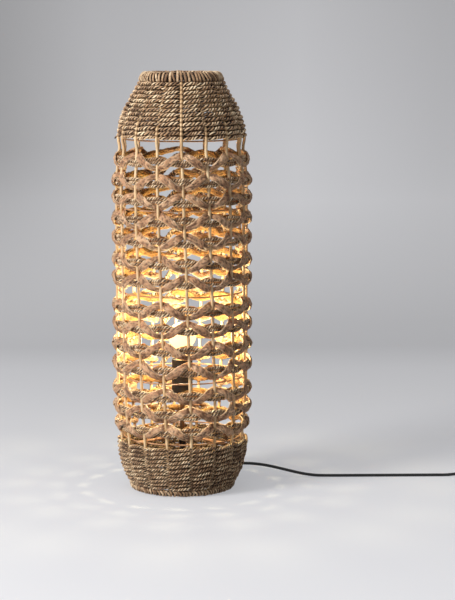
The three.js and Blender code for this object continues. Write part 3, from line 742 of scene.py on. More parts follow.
# The woven shell's line, as the solids have it, but for the cap, which is fuller in its middle
shell = {
    "capTop": 0.8777, "capBottom": 0.757, "capTopRadius": 0.09, "capBottomRadius": 0.139,
    "basketTop": 0.114, "basketBottom": 0.0153, "basketTopRadius": 0.141, "basketBottomRadius": 0.1175,
    "bodyRadius": 0.139, "flare": 0.084, "twist": 8.4, "stakes": 16, "stakeRadius": 0.0033,
    "stakeInwards": 0.0098, "softening": 0.012, "seamStake": 8,
    "lineStep": 0.001, "lineTop": 0.92, "lineEnds": (0.012, 0.905),
}
capShares = [(0, 0), (0.14, 0.03), (0.31, 0.12), (0.5, 0.305), (0.66, 0.515), (0.85, 0.785), (1, 1)]
basketShares = [(0, 0), (0.29, 0.58), (0.63, 0.92), (0.85, 1.02), (1, 1)]
spacing = math.tau / shell["stakes"]


# A wall's outline through its shares, as radius and height, with the run up to each point
def makeWall(name, shares, steps=40):
    bottom, top = shell[name + "Bottom"], shell[name + "Top"]
    bottomRadius, topRadius = shell[name + "BottomRadius"], shell[name + "TopRadius"]
    corners = []
    for rise, swing in shares:
        corners.append(Vector((mix(bottomRadius, topRadius, swing), mix(bottom, top, rise))))
    last = len(corners) - 1
    points = []
    for i in range(last):
        start, end = corners[i], corners[i + 1]
        before, after = corners[max(i - 1, 0)], corners[min(i + 2, last)]
        startSlope, endSlope = (end - before) / 2, (after - start) / 2
        points += [between(start, end, startSlope, endSlope, k / steps) for k in range(steps)]
    points.append(corners[-1])
    runs = [0.0]
    for a, b in zip(points, points[1:]):
        runs.append(runs[-1] + (b - a).length)
    return points, runs


# The place on a wall at a share of its run, moved inwards, and the way out of the wall
def onWall(wall, share, inwards=0.0):
    points, runs = wall
    target = share * runs[-1]
    i = 1
    while i < len(runs) - 1 and runs[i] < target:
        i += 1
    t = (target - runs[i - 1]) / (runs[i] - runs[i - 1])
    ahead = (points[i] - points[i - 1]).normalized()
    out = Vector((ahead.y, -ahead.x))
    return points[i - 1].lerp(points[i], t) - out * inwards, out


capWall = makeWall("cap", capShares)
basketWall = makeWall("basket", basketShares)


# The stakes' line, softened a little where it turns, at every step of height
def makeStakeLine():
    steps = 8
    low = [onWall(basketWall, i / steps, shell["stakeInwards"])[0] for i in range(steps + 1)]
    high = [onWall(capWall, i / steps, shell["stakeInwards"])[0] for i in range(steps + 1)]
    heights = (
        shell["basketTop"] + shell["flare"],
        (shell["basketTop"] + shell["capBottom"]) / 2,
        shell["capBottom"] - shell["flare"],
    )
    places = [*low, *(Vector((shell["bodyRadius"], height)) for height in heights), *high]

    def plain(height):
        i = 1
        while i < len(places) - 1 and places[i].y < height:
            i += 1
        lower, upper = places[i - 1], places[i]
        return mix(lower.x, upper.x, (height - lower.y) / (upper.y - lower.y))

    count = round(shell["lineTop"] / shell["lineStep"])
    rough = [plain(i * shell["lineStep"]) for i in range(count)]
    reach = round(shell["softening"] / shell["lineStep"])
    windows = [rough[max(i - reach, 0):i + reach + 1] for i in range(count)]
    return [sum(window) / len(window) for window in windows]


stakeLine = makeStakeLine()


def lineRadius(height):
    place = clamp(height, *shell["lineEnds"]) / shell["lineStep"]
    i = int(place)
    return mix(stakeLine[i], stakeLine[i + 1], place - i)


def stakeAngle(stake, height):
    down = clamp((shell["capBottom"] - height) / (shell["capBottom"] - shell["basketTop"]))
    return stake * spacing - math.pi / 2 + math.radians(shell["twist"]) * down


# Small even wandering of a value along a run
def wander(place, seed, size=1.0):
    return noise.noise(Vector((place, seed * 7.31, seed * 3.17))) * size


# The heights of the open rows, from the top down, as their solids have them
def openRowHeights():
    levels = sorted({round(vertex.co.z, 6) for vertex in nodes["cord_winding"].data.vertices}, reverse=True)
    return [sum(levels[i:i + 4]) / 4 for i in range(0, len(levels), 4)]


rowHeights = openRowHeights()
hoopBelowRows = (3, 7, 11)


# A new tree with its sizes as named inputs, a geometry in and out, and a material
def newTree(name, sizes):
    tree = bpy.data.node_groups.new(name, "GeometryNodeTree")
    tree.interface.new_socket("Geometry", in_out="INPUT", socket_type="NodeSocketGeometry")
    for label, value in sizes.items():
        kind = "NodeSocketInt" if isinstance(value, int) else "NodeSocketFloat"
        tree.interface.new_socket(label, in_out="INPUT", socket_type=kind).default_value = value
    tree.interface.new_socket("Material", in_out="INPUT", socket_type="NodeSocketMaterial")
    tree.interface.new_socket("Geometry", in_out="OUTPUT", socket_type="NodeSocketGeometry")
    return tree, tree.nodes.new("NodeGroupInput").outputs


def named(tree, name, kind="FLOAT"):
    return put(tree, "GeometryNodeInputNamedAttribute", {"Name": name}, data_type=kind).outputs[0]


def namedVector(tree, name):
    return named(tree, name, "FLOAT_VECTOR")


def store(tree, geometry, name, value, kind="FLOAT"):
    inputs = {"Geometry": geometry, "Name": name, "Value": value}
    return put(tree, "GeometryNodeStoreNamedAttribute", inputs, data_type=kind, domain="POINT").outputs[0]


# A path as a curve in even steps that keeps its places and its ways ahead
def steppedCurve(tree, sizes):
    curve = put(tree, "GeometryNodeMeshToCurve", {"Mesh": sizes["Geometry"]}).outputs[0]
    curve = put(tree, "GeometryNodeResampleCurve", {"Curve": curve, "Length": sizes["Step"]}, mode="LENGTH")
    place = tree.nodes.new("GeometryNodeInputPosition").outputs[0]
    ahead = tree.nodes.new("GeometryNodeInputTangent").outputs[0]
    curve = store(tree, curve.outputs[0], "centre", place, "FLOAT_VECTOR")
    return store(tree, curve, "ahead", ahead, "FLOAT_VECTOR"), place


# A circle drawn along a curve, which keeps each point's turn on the circle
def drawn(tree, curve, sides, place, scale):
    circle = put(tree, "GeometryNodeCurvePrimitiveCircle", {"Resolution": sides, "Radius": 1.0}).outputs[0]
    profile = store(tree, circle, "turn", place, "FLOAT_VECTOR")
    return put(tree, "GeometryNodeCurveToMesh", {
        "Curve": curve, "Profile Curve": profile, "Scale": scale, "Fill Caps": True,
    }).outputs[0]


def finishTree(tree, mesh, sizes):
    soft = put(tree, "GeometryNodeSetShadeSmooth", {0: mesh}).outputs[0]
    real = put(tree, "GeometryNodeRealizeInstances", {0: soft}).outputs[0]
    dressed = put(tree, "GeometryNodeSetMaterial", {"Geometry": real, "Material": sizes["Material"]})
    put(tree, "NodeGroupOutput", {0: dressed.outputs[0]})


# The part of "out" that is square to the way ahead
def squareOut(tree, ahead):
    out = namedVector(tree, "out")
    along = stretched(tree, ahead, dot(tree, out, ahead))
    return vectorCalc(tree, "NORMALIZE", vectorCalc(tree, "SUBTRACT", out, along))


# Plies laid round a path: the front of each climbs to the right when the lay is positive
def makeCordTree():
    tree, sizes = newTree("twistedCord", {
        "Ply radius": 0.0018, "Ply offset": 0.0017, "Flatness": 0.6, "Lay": 0.01, "Step": 0.0014, "Sides": 6,
        "Plies": 2, "Unevenness": 0.20, "Swirl": 1.1, "Swirls per metre": 42.0, "Lumps per metre": 130.0,
        "Lumps apart": 17.0, "Strokes apart": 0.37,
    })
    curve, place = steppedCurve(tree, sizes)
    copies = put(tree, "GeometryNodeDuplicateElements", {
        "Geometry": curve, "Amount": sizes["Plies"],
    }, domain="SPLINE").outputs
    curve = store(tree, copies[0], "ply", copies[1])
    full, run, row, ply = (named(tree, name) for name in ("full", "run", "row", "ply"))
    forward = namedVector(tree, "ahead")
    out = squareOut(tree, forward)
    up = vectorCalc(tree, "CROSS_PRODUCT", out, forward)
    swirl = speckle(tree, combined(tree, times(tree, run, sizes["Swirls per metre"]), row), 1.0, 1.0, 0.5)
    share = calc(tree, "DIVIDE", ply, sizes["Plies"])
    turns = plus(tree, calc(tree, "DIVIDE", run, sizes["Lay"]), share)
    turns = timesPlus(tree, minus(tree, swirl, 0.5), sizes["Swirl"], turns)
    phase = times(tree, turns, math.tau)
    whole = calc(tree, "FLOOR", plus(tree, turns, 0.5))
    curve = store(tree, curve, "stroke", timesPlus(tree, ply, sizes["Strokes apart"], whole))
    reach = times(tree, sizes["Ply offset"], full)
    outPart = times(tree, times(tree, calc(tree, "COSINE", phase), sizes["Flatness"]), reach)
    upPart = times(tree, calc(tree, "SINE", phase), reach)
    offset = vectorCalc(tree, "ADD", stretched(tree, out, outPart), stretched(tree, up, upPart))
    curve = put(tree, "GeometryNodeSetPosition", {"Geometry": curve, "Offset": offset}).outputs[0]
    along, aside = times(tree, run, sizes["Lumps per metre"]), times(tree, ply, sizes["Lumps apart"])
    lumps = speckle(tree, combined(tree, along, aside, row), 1.0, 2.0, 0.5)
    swell = timesPlus(tree, minus(tree, lumps, 0.5), times(tree, sizes["Unevenness"], 2.0), 1.0)
    radius = times(tree, times(tree, swell, full), sizes["Ply radius"])
    mesh = drawn(tree, curve, sizes["Sides"], place, radius)
    # How far each point lies from the cord's axis, which the seagrass material turns into painted shade
    # between the plies and a painted highlight on the crests
    apart = vectorCalc(tree, "SUBTRACT", place, namedVector(tree, "centre"))
    depth = timesPlus(tree, sizes["Ply offset"], sizes["Flatness"], sizes["Ply radius"])
    width = plus(tree, sizes["Ply offset"], sizes["Ply radius"])
    outShare = calc(tree, "DIVIDE", dot(tree, apart, out), depth)
    upShare = calc(tree, "DIVIDE", dot(tree, apart, up), width)
    square = timesPlus(tree, outShare, outShare, times(tree, upShare, upShare))
    mesh = store(tree, mesh, "groove", calc(tree, "SQRT", square))
    finishTree(tree, mesh, sizes)
    return tree


# A flat folded strand along a path, with lumps and lengthwise creases
def makeStrandTree():
    tree, sizes = newTree("foldedStrand", {
        "Step": 0.0028, "Points around": 20, "Lump size": 0.0015, "Crease depth": 0.0021,
        "Crease width": 0.07, "Lumps per metre": 75.0, "Lumps around": 1.2, "Creases per metre": 34.0,
        "Creases around": 2.2, "Twist per metre": 30.0, "Rows apart": 7.3, "Full from": 0.006,
    })
    curve, place = steppedCurve(tree, sizes)
    mesh = drawn(tree, curve, sizes["Points around"], place, 0.001)
    forward = namedVector(tree, "ahead")
    out = squareOut(tree, forward)
    across = vectorCalc(tree, "CROSS_PRODUCT", out, forward)
    run, half, thick = (named(tree, name) for name in ("run", "half", "thick"))
    row = times(tree, named(tree, "row"), sizes["Rows apart"])
    turn = split(tree, namedVector(tree, "turn"))
    leaning = split(tree, put(tree, "ShaderNodeVectorRotate", {
        0: namedVector(tree, "turn"), "Angle": times(tree, run, sizes["Twist per metre"]),
    }, rotation_type="Z_AXIS").outputs[0])

    def noiseAlong(perMetre, around, detail):
        along, across = times(tree, run, perMetre), times(tree, leaning[0], around)
        skin = combined(tree, along, across, timesPlus(tree, leaning[1], around, row))
        return minus(tree, speckle(tree, skin, 1.0, detail, 0.5), 0.5)

    lump = noiseAlong(sizes["Lumps per metre"], sizes["Lumps around"], 2.0)
    ridge = calc(tree, "ABSOLUTE", noiseAlong(sizes["Creases per metre"], sizes["Creases around"], 1.0))
    mesh = store(tree, mesh, "crease", eased(tree, ridge, 0.0, sizes["Crease width"], 1.0, 0.0))
    # The strand's sides get a lower groove value, which the seagrass material on the rims turns into painted
    # shade
    edge = calc(tree, "POWER", calc(tree, "ABSOLUTE", turn[0]), 3.0)
    mesh = store(tree, mesh, "groove", minus(tree, 1.0, times(tree, edge, 0.5)))
    rise = times(tree, lump, times(tree, sizes["Lump size"], 4.0))
    swell = minus(tree, rise, times(tree, named(tree, "crease"), sizes["Crease depth"]))
    swell = times(tree, swell, calc(tree, "MINIMUM", calc(tree, "DIVIDE", half, sizes["Full from"]), 1.0))
    acrossPart = times(tree, turn[0], plus(tree, half, swell))
    outPart = times(tree, turn[1], timesPlus(tree, thick, 0.5, swell))
    target = vectorCalc(tree, "ADD", namedVector(tree, "centre"), stretched(tree, across, acrossPart))
    target = vectorCalc(tree, "ADD", target, stretched(tree, out, outPart))
    mesh = put(tree, "GeometryNodeSetPosition", {"Geometry": mesh, "Position": target}).outputs[0]
    finishTree(tree, mesh, sizes)
    return tree


cordTree = makeCordTree()
strandTree = makeStrandTree()


# The layers of values that a grown mesh keeps
keptLayers = ("run", "turn", "row", "ply", "stroke", "groove", "crease", "inner")


# Paths as points and edges with their values: a path holds places, ways out and other values
def pathMesh(name, paths):
    places, edges = [], []
    for path in paths:
        start = len(places)
        places += path["places"]
        edges += [(start + i, start + i + 1) for i in range(len(path["places"]) - 1)]
    mesh = bpy.data.meshes.new(name + "Path")
    mesh.from_pydata([tuple(place) for place in places], edges, [])
    for key in paths[0]:
        if key == "places":
            continue
        values = [value for path in paths for value in path[key]]
        isVector = isinstance(values[0], Vector)
        layer = mesh.attributes.new(key, "FLOAT_VECTOR" if isVector else "FLOAT", "POINT")
        flat = [part for value in values for part in value] if isVector else values
        layer.data.foreach_set("vector" if isVector else "value", flat)
    return mesh


# Runs one tree over paths and gives the plain mesh
def grow(name, paths, tree, finish, sizes):
    source = pathMesh(name, paths)
    carrier = bpy.data.objects.new(name + "Path", source)
    scene.collection.objects.link(carrier)
    modifier = carrier.modifiers.new("grow", "NODES")
    modifier.node_group = tree
    sockets = {item.name: item.identifier for item in tree.interface.items_tree if item.in_out == "INPUT"}
    modifier[sockets["Material"]] = finishes[finish]
    for label, value in sizes.items():
        modifier[sockets[label]] = value
    graph = bpy.context.evaluated_depsgraph_get()
    mesh = bpy.data.meshes.new_from_object(carrier.evaluated_get(graph))
    mesh.name = name
    bpy.data.objects.remove(carrier)
    bpy.data.meshes.remove(source)
    for layer in [item.name for item in mesh.attributes if item.name not in keptLayers]:
        if not mesh.attributes[layer].is_required and not mesh.attributes[layer].is_internal:
            mesh.attributes.remove(mesh.attributes[layer])
    if not mesh.materials:
        mesh.materials.append(finishes[finish])
    work = bmesh.new()
    work.from_mesh(mesh)
    bmesh.ops.recalc_face_normals(work, faces=work.faces)
    work.to_mesh(mesh)
    work.free()
    return mesh


# Adds the run along a path, from a starting value
def measured(path, start=0.0):
    runs = [start]
    for a, b in zip(path["places"], path["places"][1:]):
        runs.append(runs[-1] + (b - a).length)
    path["run"] = runs
    return path


# The angle, from the seam, of a place counted in bays along the winding
def bayAngle(bay, height):
    return stakeAngle(shell["seamStake"] + 1 + bay, height)


# A twisted cord's sizes as its tree names them
def cordSizes(cord):
    return {
        "Ply radius": cord["ply"], "Ply offset": cord["offset"], "Flatness": cord["flatness"],
        "Lay": cord["lay"], "Step": cord["step"], "Sides": cord["sides"],
    }


# Open rows: a pair of twisted cords in front of the stakes, a turn to each row and a step at the seam
openCord = {
    "apart": 0.0040, "beforeStake": 0.0062, "ply": 0.00190, "offset": 0.00200, "flatness": 0.80,
    "lay": 0.0118, "step": 0.0014, "sides": 6, "pointsPerBay": 12, "wobble": 0.0006, "stepFrom": 0.12,
    "stepTo": 0.048, "wave": 0.0030, "tonesApart": 0.3,
}
cordPieces = ((0, 3), (3, 7), (7, 11), (11, 14))


def cordRadius(bay, height):
    f = bay - math.floor(bay)
    bulge = math.cos(spacing / 2) / math.cos(spacing * (0.5 - f))
    return (lineRadius(height) + openCord["beforeStake"]) * bulge


# Which way a row's strand bends at a stake, counted in bays: 1 is up
def bendAt(bays, row):
    return 1 if (shell["seamStake"] + 1 + bays + row) % 2 == 0 else -1


# The cords' wave at a place counted in bays from the first row's start
def cordWave(bay):
    turns = shell["stakes"]
    sides = []
    for whole in (math.floor(bay), math.floor(bay) + 1):
        row = min(whole // turns, len(rowHeights) - 1)
        sides.append(bendAt(whole - row * turns, row))
    share = (1 - math.cos(math.pi * (bay - math.floor(bay)))) / 2
    return -openCord["wave"] * mix(*sides, share)


def openCordPath(number, first, last, side):
    turns, perBay = shell["stakes"], openCord["pointsPerBay"]
    path = {"places": [], "out": [], "row": [], "full": []}
    for i in range(first * turns * perBay, last * turns * perBay + 1):
        bay = i / perBay
        row = min(int(bay // turns), len(rowHeights) - 1)
        height = rowHeights[row]
        if row < len(rowHeights) - 1:
            share = smooth(turns - 1 + openCord["stepFrom"], turns - openCord["stepTo"], bay - row * turns)
            height = mix(height, rowHeights[row + 1], share)
        height += side * openCord["apart"] + wander(bay * 0.9, 3 + side, openCord["wobble"] * 2)
        height += cordWave(bay)
        angle = bayAngle(bay, height)
        radius = cordRadius(bay, height) + wander(bay * 0.7, 11 + side, openCord["wobble"])
        path["places"].append(polar(angle, radius, height))
        path["out"].append(radial(angle))
        path["row"].append(number + side * openCord["tonesApart"])
        path["full"].append(1.0)
    return measured(path)


def makeOpenCords():
    for number, (first, last) in enumerate(cordPieces, 1):
        paths = [openCordPath(number, first, last, side) for side in (1, -1)]
        mesh = grow(f"openCords{number}", paths, cordTree, "seagrass", cordSizes(openCord))
        addPiece(f"open_cords_{number}", mesh, None, "seagrass", "root", "cord_winding")


makeOpenCords()
print("open rows' cords twisted")


# A hyacinth row: one strand goes round twice, over the cords and then behind them
strand = {
    "behind": 0.0068, "backOff": 0.0034, "backFrom": 0.05, "backFull": 0.4, "halfAtStake": 0.0066,
    "halfBetween": 0.0086, "innerHalf": 0.0064, "halfChange": 0.16, "thickAtStake": 0.0062,
    "thickBetween": 0.0056, "thickChange": 0.2, "widens": 0.3, "peak": 0.0140, "innerPeak": 0.45,
    "hoopRoom": 0.0015, "tail": 0.25, "tailTaper": 0.6, "tailLeast": 0.35, "overStart": 0.025,
    "overFull": 0.42, "cordDepth": 0.0031, "pointsPerBay": 12, "wobble": 0.0011, "tilt": 0.85,
    "tiltAtStake": 0.3, "innerTilt": 0.35,
}


def roomBeside(row, side):
    other = row - side
    if other < 0 or other >= len(rowHeights):
        return 2 * strand["peak"]
    hoop = strand["hoopRoom"] if min(row, other) + 1 in hoopBelowRows else 0
    return abs(rowHeights[row] - rowHeights[other]) / 2 - hoop


# The strand's wave at a whole number of bays: up or down, as far as the rows beside it leave room
def strandRise(row, k):
    turns = shell["stakes"]
    place = clamp(k, 0, 2 * turns - 1)
    side = bendAt(place, row) * (1 if place < turns else -1)
    peak = min(roomBeside(row, side) - strand["halfAtStake"], strand["peak"])
    peak += wander(k * 5.7, row + 40, strand["wobble"])
    return side * peak * (1 if k < turns else strand["innerPeak"])


def strandPath(row):
    turns, steps, height = shell["stakes"], strand["pointsPerBay"], rowHeights[row]
    path = {"places": [], "out": [], "half": [], "thick": [], "row": [], "inner": []}
    first, last = -strand["tail"], 2 * turns - 1 + strand["tail"]
    taperRun = strand["tailTaper"] * strand["tail"]
    for i in range(round(first * steps), round(last * steps) + 1):
        k = i / steps
        low = math.floor(k)
        f = k - low
        near = min(f, 1 - f)
        rise = mix(strandRise(row, low), strandRise(row, low + 1), (1 - math.cos(math.pi * f)) / 2)
        level = height + rise + wander(k * 0.8, row + 60, strand["wobble"])
        line = lineRadius(level)
        apart = smooth(0.0, strand["widens"], near)
        thick = mix(strand["thickAtStake"], strand["thickBetween"], apart)
        if 0 <= low < turns - 1:
            front = cordRadius(k, height) - lineRadius(height) + strand["cordDepth"] + thick / 2
            over = clamp((near - strand["overStart"]) / (strand["overFull"] - strand["overStart"]))
            away = mix(-strand["behind"], front, math.sin(math.pi / 2 * over))
            tilt = strand["tilt"] * rise / strand["peak"] * mix(strand["tiltAtStake"], 1, apart)
            wide = strand["halfBetween"]
        else:
            share = smooth(strand["backFrom"], strand["backFull"], near)
            away = mix(-strand["behind"], -strand["backOff"], share)
            tilt = strand["innerTilt"] * rise / strand["peak"]
            wide = strand["innerHalf"]
        away += wander(k * 1.1, row + 80, strand["wobble"] * 0.5)
        angle = bayAngle(k, level)
        taper = math.sqrt(clamp((k - first) / taperRun) * clamp((last - k) / taperRun))
        taper = mix(strand["tailLeast"], 1, taper)
        atStake = strand["halfAtStake"] if k < turns - 0.5 else strand["innerHalf"]
        half = mix(atStake, wide, apart) * (1 + wander(k * 0.9, row + 100, strand["halfChange"]))
        path["places"].append(polar(angle, line + away, level))
        path["out"].append(radial(angle) * math.cos(tilt) + Vector((0, 0, math.sin(tilt))))
        path["half"].append(half * taper)
        path["thick"].append(thick * taper * (1 + wander(k * 1.3, row + 120, strand["thickChange"])))
        path["row"].append(row + 1.0)
        # The second loop, behind the cords, which the material darkens as painted shade
        path["inner"].append(smooth(turns - 1, turns, k))
    return measured(path)


def makeStrands():
    for row in range(len(rowHeights)):
        name = f"hyacinth_row_{row + 1:02d}"
        mesh = grow(f"strand{row + 1:02d}", [strandPath(row)], strandTree, "hyacinth", {})
        addPiece(f"hyacinth_strand_{row + 1:02d}", mesh, None, "hyacinth", "root", name)


makeStrands()
print("hyacinth strands laid")


# The cap and the basket: rows of twined seagrass on the wall, with a step to the next row at the seam
capWeave = {
    "inwards": 0.0030, "inwardsTop": 0.0004, "ply": 0.00185, "offset": 0.0019, "flatness": 0.9,
    "lay": 0.0165, "step": 0.0017, "sides": 7, "rows": 13, "pointsPerBay": 14, "dip": 0.0072,
    "dipWidth": 0.0062, "pinch": 0.12, "clearRows": (13, 3, 4, 3), "wobble": 0.0019, "tilt": 0.0012,
    "shift": 0.2, "fullChange": 0.12, "stepFrom": 0.9, "stepTo": 0.1,
}
basketWeave = {
    **capWeave, "inwardsTop": 0.0030, "ply": 0.00158, "offset": 0.00162, "flatness": 0.95, "lay": 0.0135,
    "step": 0.0015, "rows": 11, "dip": 0.0022, "dipWidth": 0.006, "pinch": 0.1,
    "clearRows": (99, 99, 99, 99), "wobble": 0.0017, "tilt": 0.0021, "shift": -0.15,
}
innerWeave = {
    "inwards": 0.0088, "inwardsTop": 0.0080, "ply": 0.0027, "offset": 0.0023, "flatness": 0.7,
    "step": 0.0026, "sides": 6, "dip": 0.0072, "dipWidth": 0.009, "pinch": 0.1,
    "clearRows": (99, 99, 99, 99), "tilt": 0.0, "wobble": 0.0010,
}
capInside = {**capWeave, **innerWeave, "shift": 0.6}
basketInside = {**basketWeave, **innerWeave, "rows": 12, "shift": -0.5}

# Where the lead comes out, and how far the rows part round it
leadGap = {"angle": math.radians(33.4), "height": 0.0306, "push": 0.0042, "across": 0.009, "up": 0.010}


# How far a row moves along the wall to make room for the lead
def partedBy(angle, point):
    beside = math.remainder(angle - leadGap["angle"], math.tau) * point.x / leadGap["across"]
    above = (point.y - leadGap["height"]) / leadGap["up"]
    return math.copysign(leadGap["push"], above) * math.exp(-beside ** 2 - above ** 2)


def weavePath(wall, weave, seed):
    turns, perBay, rows = shell["stakes"], weave["pointsPerBay"], weave["rows"]
    path = {"places": [], "out": [], "full": [], "row": []}
    for i in range(rows * turns * perBay + 1):
        bay = i / perBay
        row = min(int(bay // turns), rows - 1)
        climb = smooth(turns - weave["stepFrom"], turns - weave["stepTo"], bay - row * turns)
        if row == rows - 1:
            climb = 0
        f = bay - math.floor(bay)
        share = clamp((row + 0.5 + climb + weave["shift"]) / rows)
        point, out = onWall(wall, share, mix(weave["inwards"], weave["inwardsTop"], share))
        atStake = math.exp(-(min(f, 1 - f) * spacing * point.x / weave["dipWidth"]) ** 2)
        stake = (shell["seamStake"] + 1 + round(bay)) % turns
        dip = weave["dip"] * atStake if row < weave["clearRows"][stake % 4] else 0.0
        away = wander(bay * 1.3, seed, weave["wobble"]) - dip
        along = wander(bay * 1.1, seed + 9, weave["wobble"]) + weave["tilt"] * (2 * smooth(0.12, 0.88, f) - 1)
        along += partedBy(bayAngle(bay, point.y), point)
        spot = point + out * away + Vector((-out.y, out.x)) * along
        angle = bayAngle(bay, spot.y)
        path["places"].append(polar(angle, spot.x, spot.y))
        path["out"].append(radial(angle) * out.x + Vector((0, 0, out.y)))
        path["full"].append(1 - weave["pinch"] * atStake + wander(bay * 1.7, seed + 5, weave["fullChange"]))
        path["row"].append(row + seed)
    return measured(path)


def makeWeave(name, wall, weave, seed, node, finish):
    mesh = grow(name, [weavePath(wall, weave, seed)], cordTree, finish, cordSizes(weave))
    addPiece(name, mesh, None, "seagrass", "root", node)


# The cap's weave takes the lighter copy and the inside weaves take the darker one, as painted light and shade
makeWeave("cap_weave", capWall, capWeave, 20, "cap_winding", "seagrassCapWithPaintedLight")
makeWeave("cap_weave_inside", capWall, capInside, 30, "cap_winding", "seagrassInsideWithPaintedShade")
makeWeave("basket_weave", basketWall, basketWeave, 60, "basket_winding", "seagrass")
makeWeave("basket_weave_inside", basketWall, basketInside, 70, "basket_winding", "seagrassInsideWithPaintedShade")
print("cap and basket woven")


# Short cord ends that stand out of the weave: stake, height, wall radius, and the way they point
looseEnds = {
    "cap": [
        (6.6, 0.800, 0.125, (0.8, 0.2)), (12.0, 0.761, 0.1365, (-0.2, -0.6)),
        (9.3, 0.768, 0.1355, (0.6, -0.5)),
    ],
    "basket": [
        (3.9, 0.096, 0.1385, (-0.3, 0.2)), (9.4, 0.088, 0.138, (0.7, 0.5)),
        (14.2, 0.060, 0.134, (-0.8, 0.1)),
    ],
    "length": 0.007, "lengthChange": 0.5, "points": 8, "ply": 0.0012, "offset": 0.0012, "flatness": 1.0,
    "lay": 0.012, "step": 0.0012, "sides": 6, "plies": 3, "narrows": 0.45, "standsOut": 1.2, "bends": 0.5,
}


def makeLooseEnds(wall, seed):
    paths = []
    for number, (stake, height, radius, (sideways, upwards)) in enumerate(looseEnds[wall]):
        angle = stakeAngle(stake, height)
        side = Vector((-math.sin(angle), math.cos(angle), 0))
        aside = side * sideways + Vector((0, 0, upwards))
        start = polar(angle, radius, height)
        reach = looseEnds["length"] * (1 + wander(number * 3.3, seed, looseEnds["lengthChange"]))
        path = {"places": [], "out": [], "full": [], "row": []}
        for i in range(looseEnds["points"] + 1):
            share = i / looseEnds["points"]
            outwards = share * (looseEnds["standsOut"] - looseEnds["bends"] * share)
            path["places"].append(start + (radial(angle) * outwards + aside * share ** 2) * reach)
            path["out"].append(side + Vector((0, 0, 0.2)))
            path["full"].append(1.0 - looseEnds["narrows"] * share)
            path["row"].append(seed + number)
        paths.append(measured(path))
    sizes = {**cordSizes(looseEnds), "Plies": looseEnds["plies"]}
    mesh = grow(wall + "LooseEnds", paths, cordTree, "seagrass", sizes)
    addPiece(wall + "_loose_ends", mesh, None, "seagrass", "root", wall + "_winding")


makeLooseEnds("cap", 90)
makeLooseEnds("basket", 110)
print("loose ends left")


# Stakes: round rattan, lifted out between the cap's rows where the weavers dip behind them
stakeShape = {
    "sides": 12, "lift": 0.0052, "liftFrom": 0.735, "liftFull": 0.76, "wrapFrom": 0.3, "bead": 0.0007,
    "beadStep": 0.0018, "openStep": 0.006, "wobble": 0.0006, "swayAt": 0.14, "thickChange": 0.05,
}


# How far a stake stands out of the cap's weave, and how much a weaver wraps it
def liftAndWrap(height, clearRows):
    if height <= stakeShape["liftFrom"]:
        return 0.0, 0.0
    share = (height - shell["capBottom"]) / (shell["capTop"] - shell["capBottom"])
    row = share * capWeave["rows"] - capWeave["shift"]
    lifted = smooth(stakeShape["liftFrom"], stakeShape["liftFull"], height)
    lifted *= 1 - smooth(clearRows - 0.6, clearRows + 0.4, row)
    wave = (0.5 + 0.5 * math.cos(math.tau * row)) ** 2 if row > stakeShape["wrapFrom"] else 0.0
    return lifted, lifted * wave


def makeStakes():
    wobble, sides = stakeShape["wobble"], stakeShape["sides"]
    for stake in range(shell["stakes"]):
        centres, radii, wraps = [], [], []
        height = shell["basketBottom"]
        while height < shell["capTop"]:
            lifted, wrap = liftAndWrap(height, capWeave["clearRows"][stake % 4])
            thick = shell["stakeRadius"] * (1 + wander(height * 30, stake + 3, stakeShape["thickChange"]))
            angle = stakeAngle(stake, height) + wander(height * 9, stake + 30, wobble) / stakeShape["swayAt"]
            away = lifted * stakeShape["lift"] + wander(height * 9, stake + 60, wobble)
            centres.append(polar(angle, lineRadius(height) + away, height))
            radii.append(thick - wrap * stakeShape["bead"])
            wraps.append(wrap)
            height += stakeShape["beadStep"] if height > stakeShape["liftFrom"] else stakeShape["openStep"]
        mesh = rodMesh(f"stake{stake + 1:02d}", centres, radii, sides)
        # The wrap share goes to the material, which paints shade into these notches
        layer = mesh.attributes.new("wrap", "FLOAT", "POINT")
        layer.data.foreach_set("value", [wrap for wrap in wraps for _ in range(sides)] + [0.0, 0.0])
        addPiece(f"rattan_stake_{stake + 1:02d}", mesh, "rattan", "stake", "root", f"stake_{stake + 1:02d}")


makeStakes()
print("stakes set")


# Welded hoops of round wire inside the stakes, and the bracket's ring, bars and boss
wire = {"radius": 0.0015, "sides": 10, "inside": 0.0051, "steps": 128, "thicker": 0.1}
bracket = {
    "barWidth": 0.014, "barThickness": 0.003, "barStake": 5.5, "barOffset": 0.0002, "boss": 0.016,
    "bossHeight": 0.0045, "bossRounding": 0.0008, "hole": 0.0053, "edge": 0.0005, "aboveBasket": 0.003,
}


def hoopMesh(name, height):
    centres, radii = [], []
    for i in range(wire["steps"]):
        centres.append(polar(math.tau * i / wire["steps"], lineRadius(height) - wire["inside"], height))
        near = abs((i * shell["stakes"] / wire["steps"] * 2 + 1) % 2 - 1)
        radii.append(wire["radius"] * (1 + wire["thicker"] * near))
    return rodMesh(name, centres, radii, wire["sides"], loop=True)


def barMesh(name, length, top, turn):
    width, thickness = bracket["barWidth"], bracket["barThickness"]
    corners = [(-width / 2, -thickness), (width / 2, -thickness), (width / 2, 0), (-width / 2, 0)]
    section = roundedProfile(corners, bracket["edge"], 3, turned=False)
    rings = []
    for share in (-0.5, -0.25, 0, 0.25, 0.5):
        rings.append([Vector((*rotated(share * length, y, turn), top + z)) for y, z in section])
    return meshOf(name, *ringFaces(rings, False))


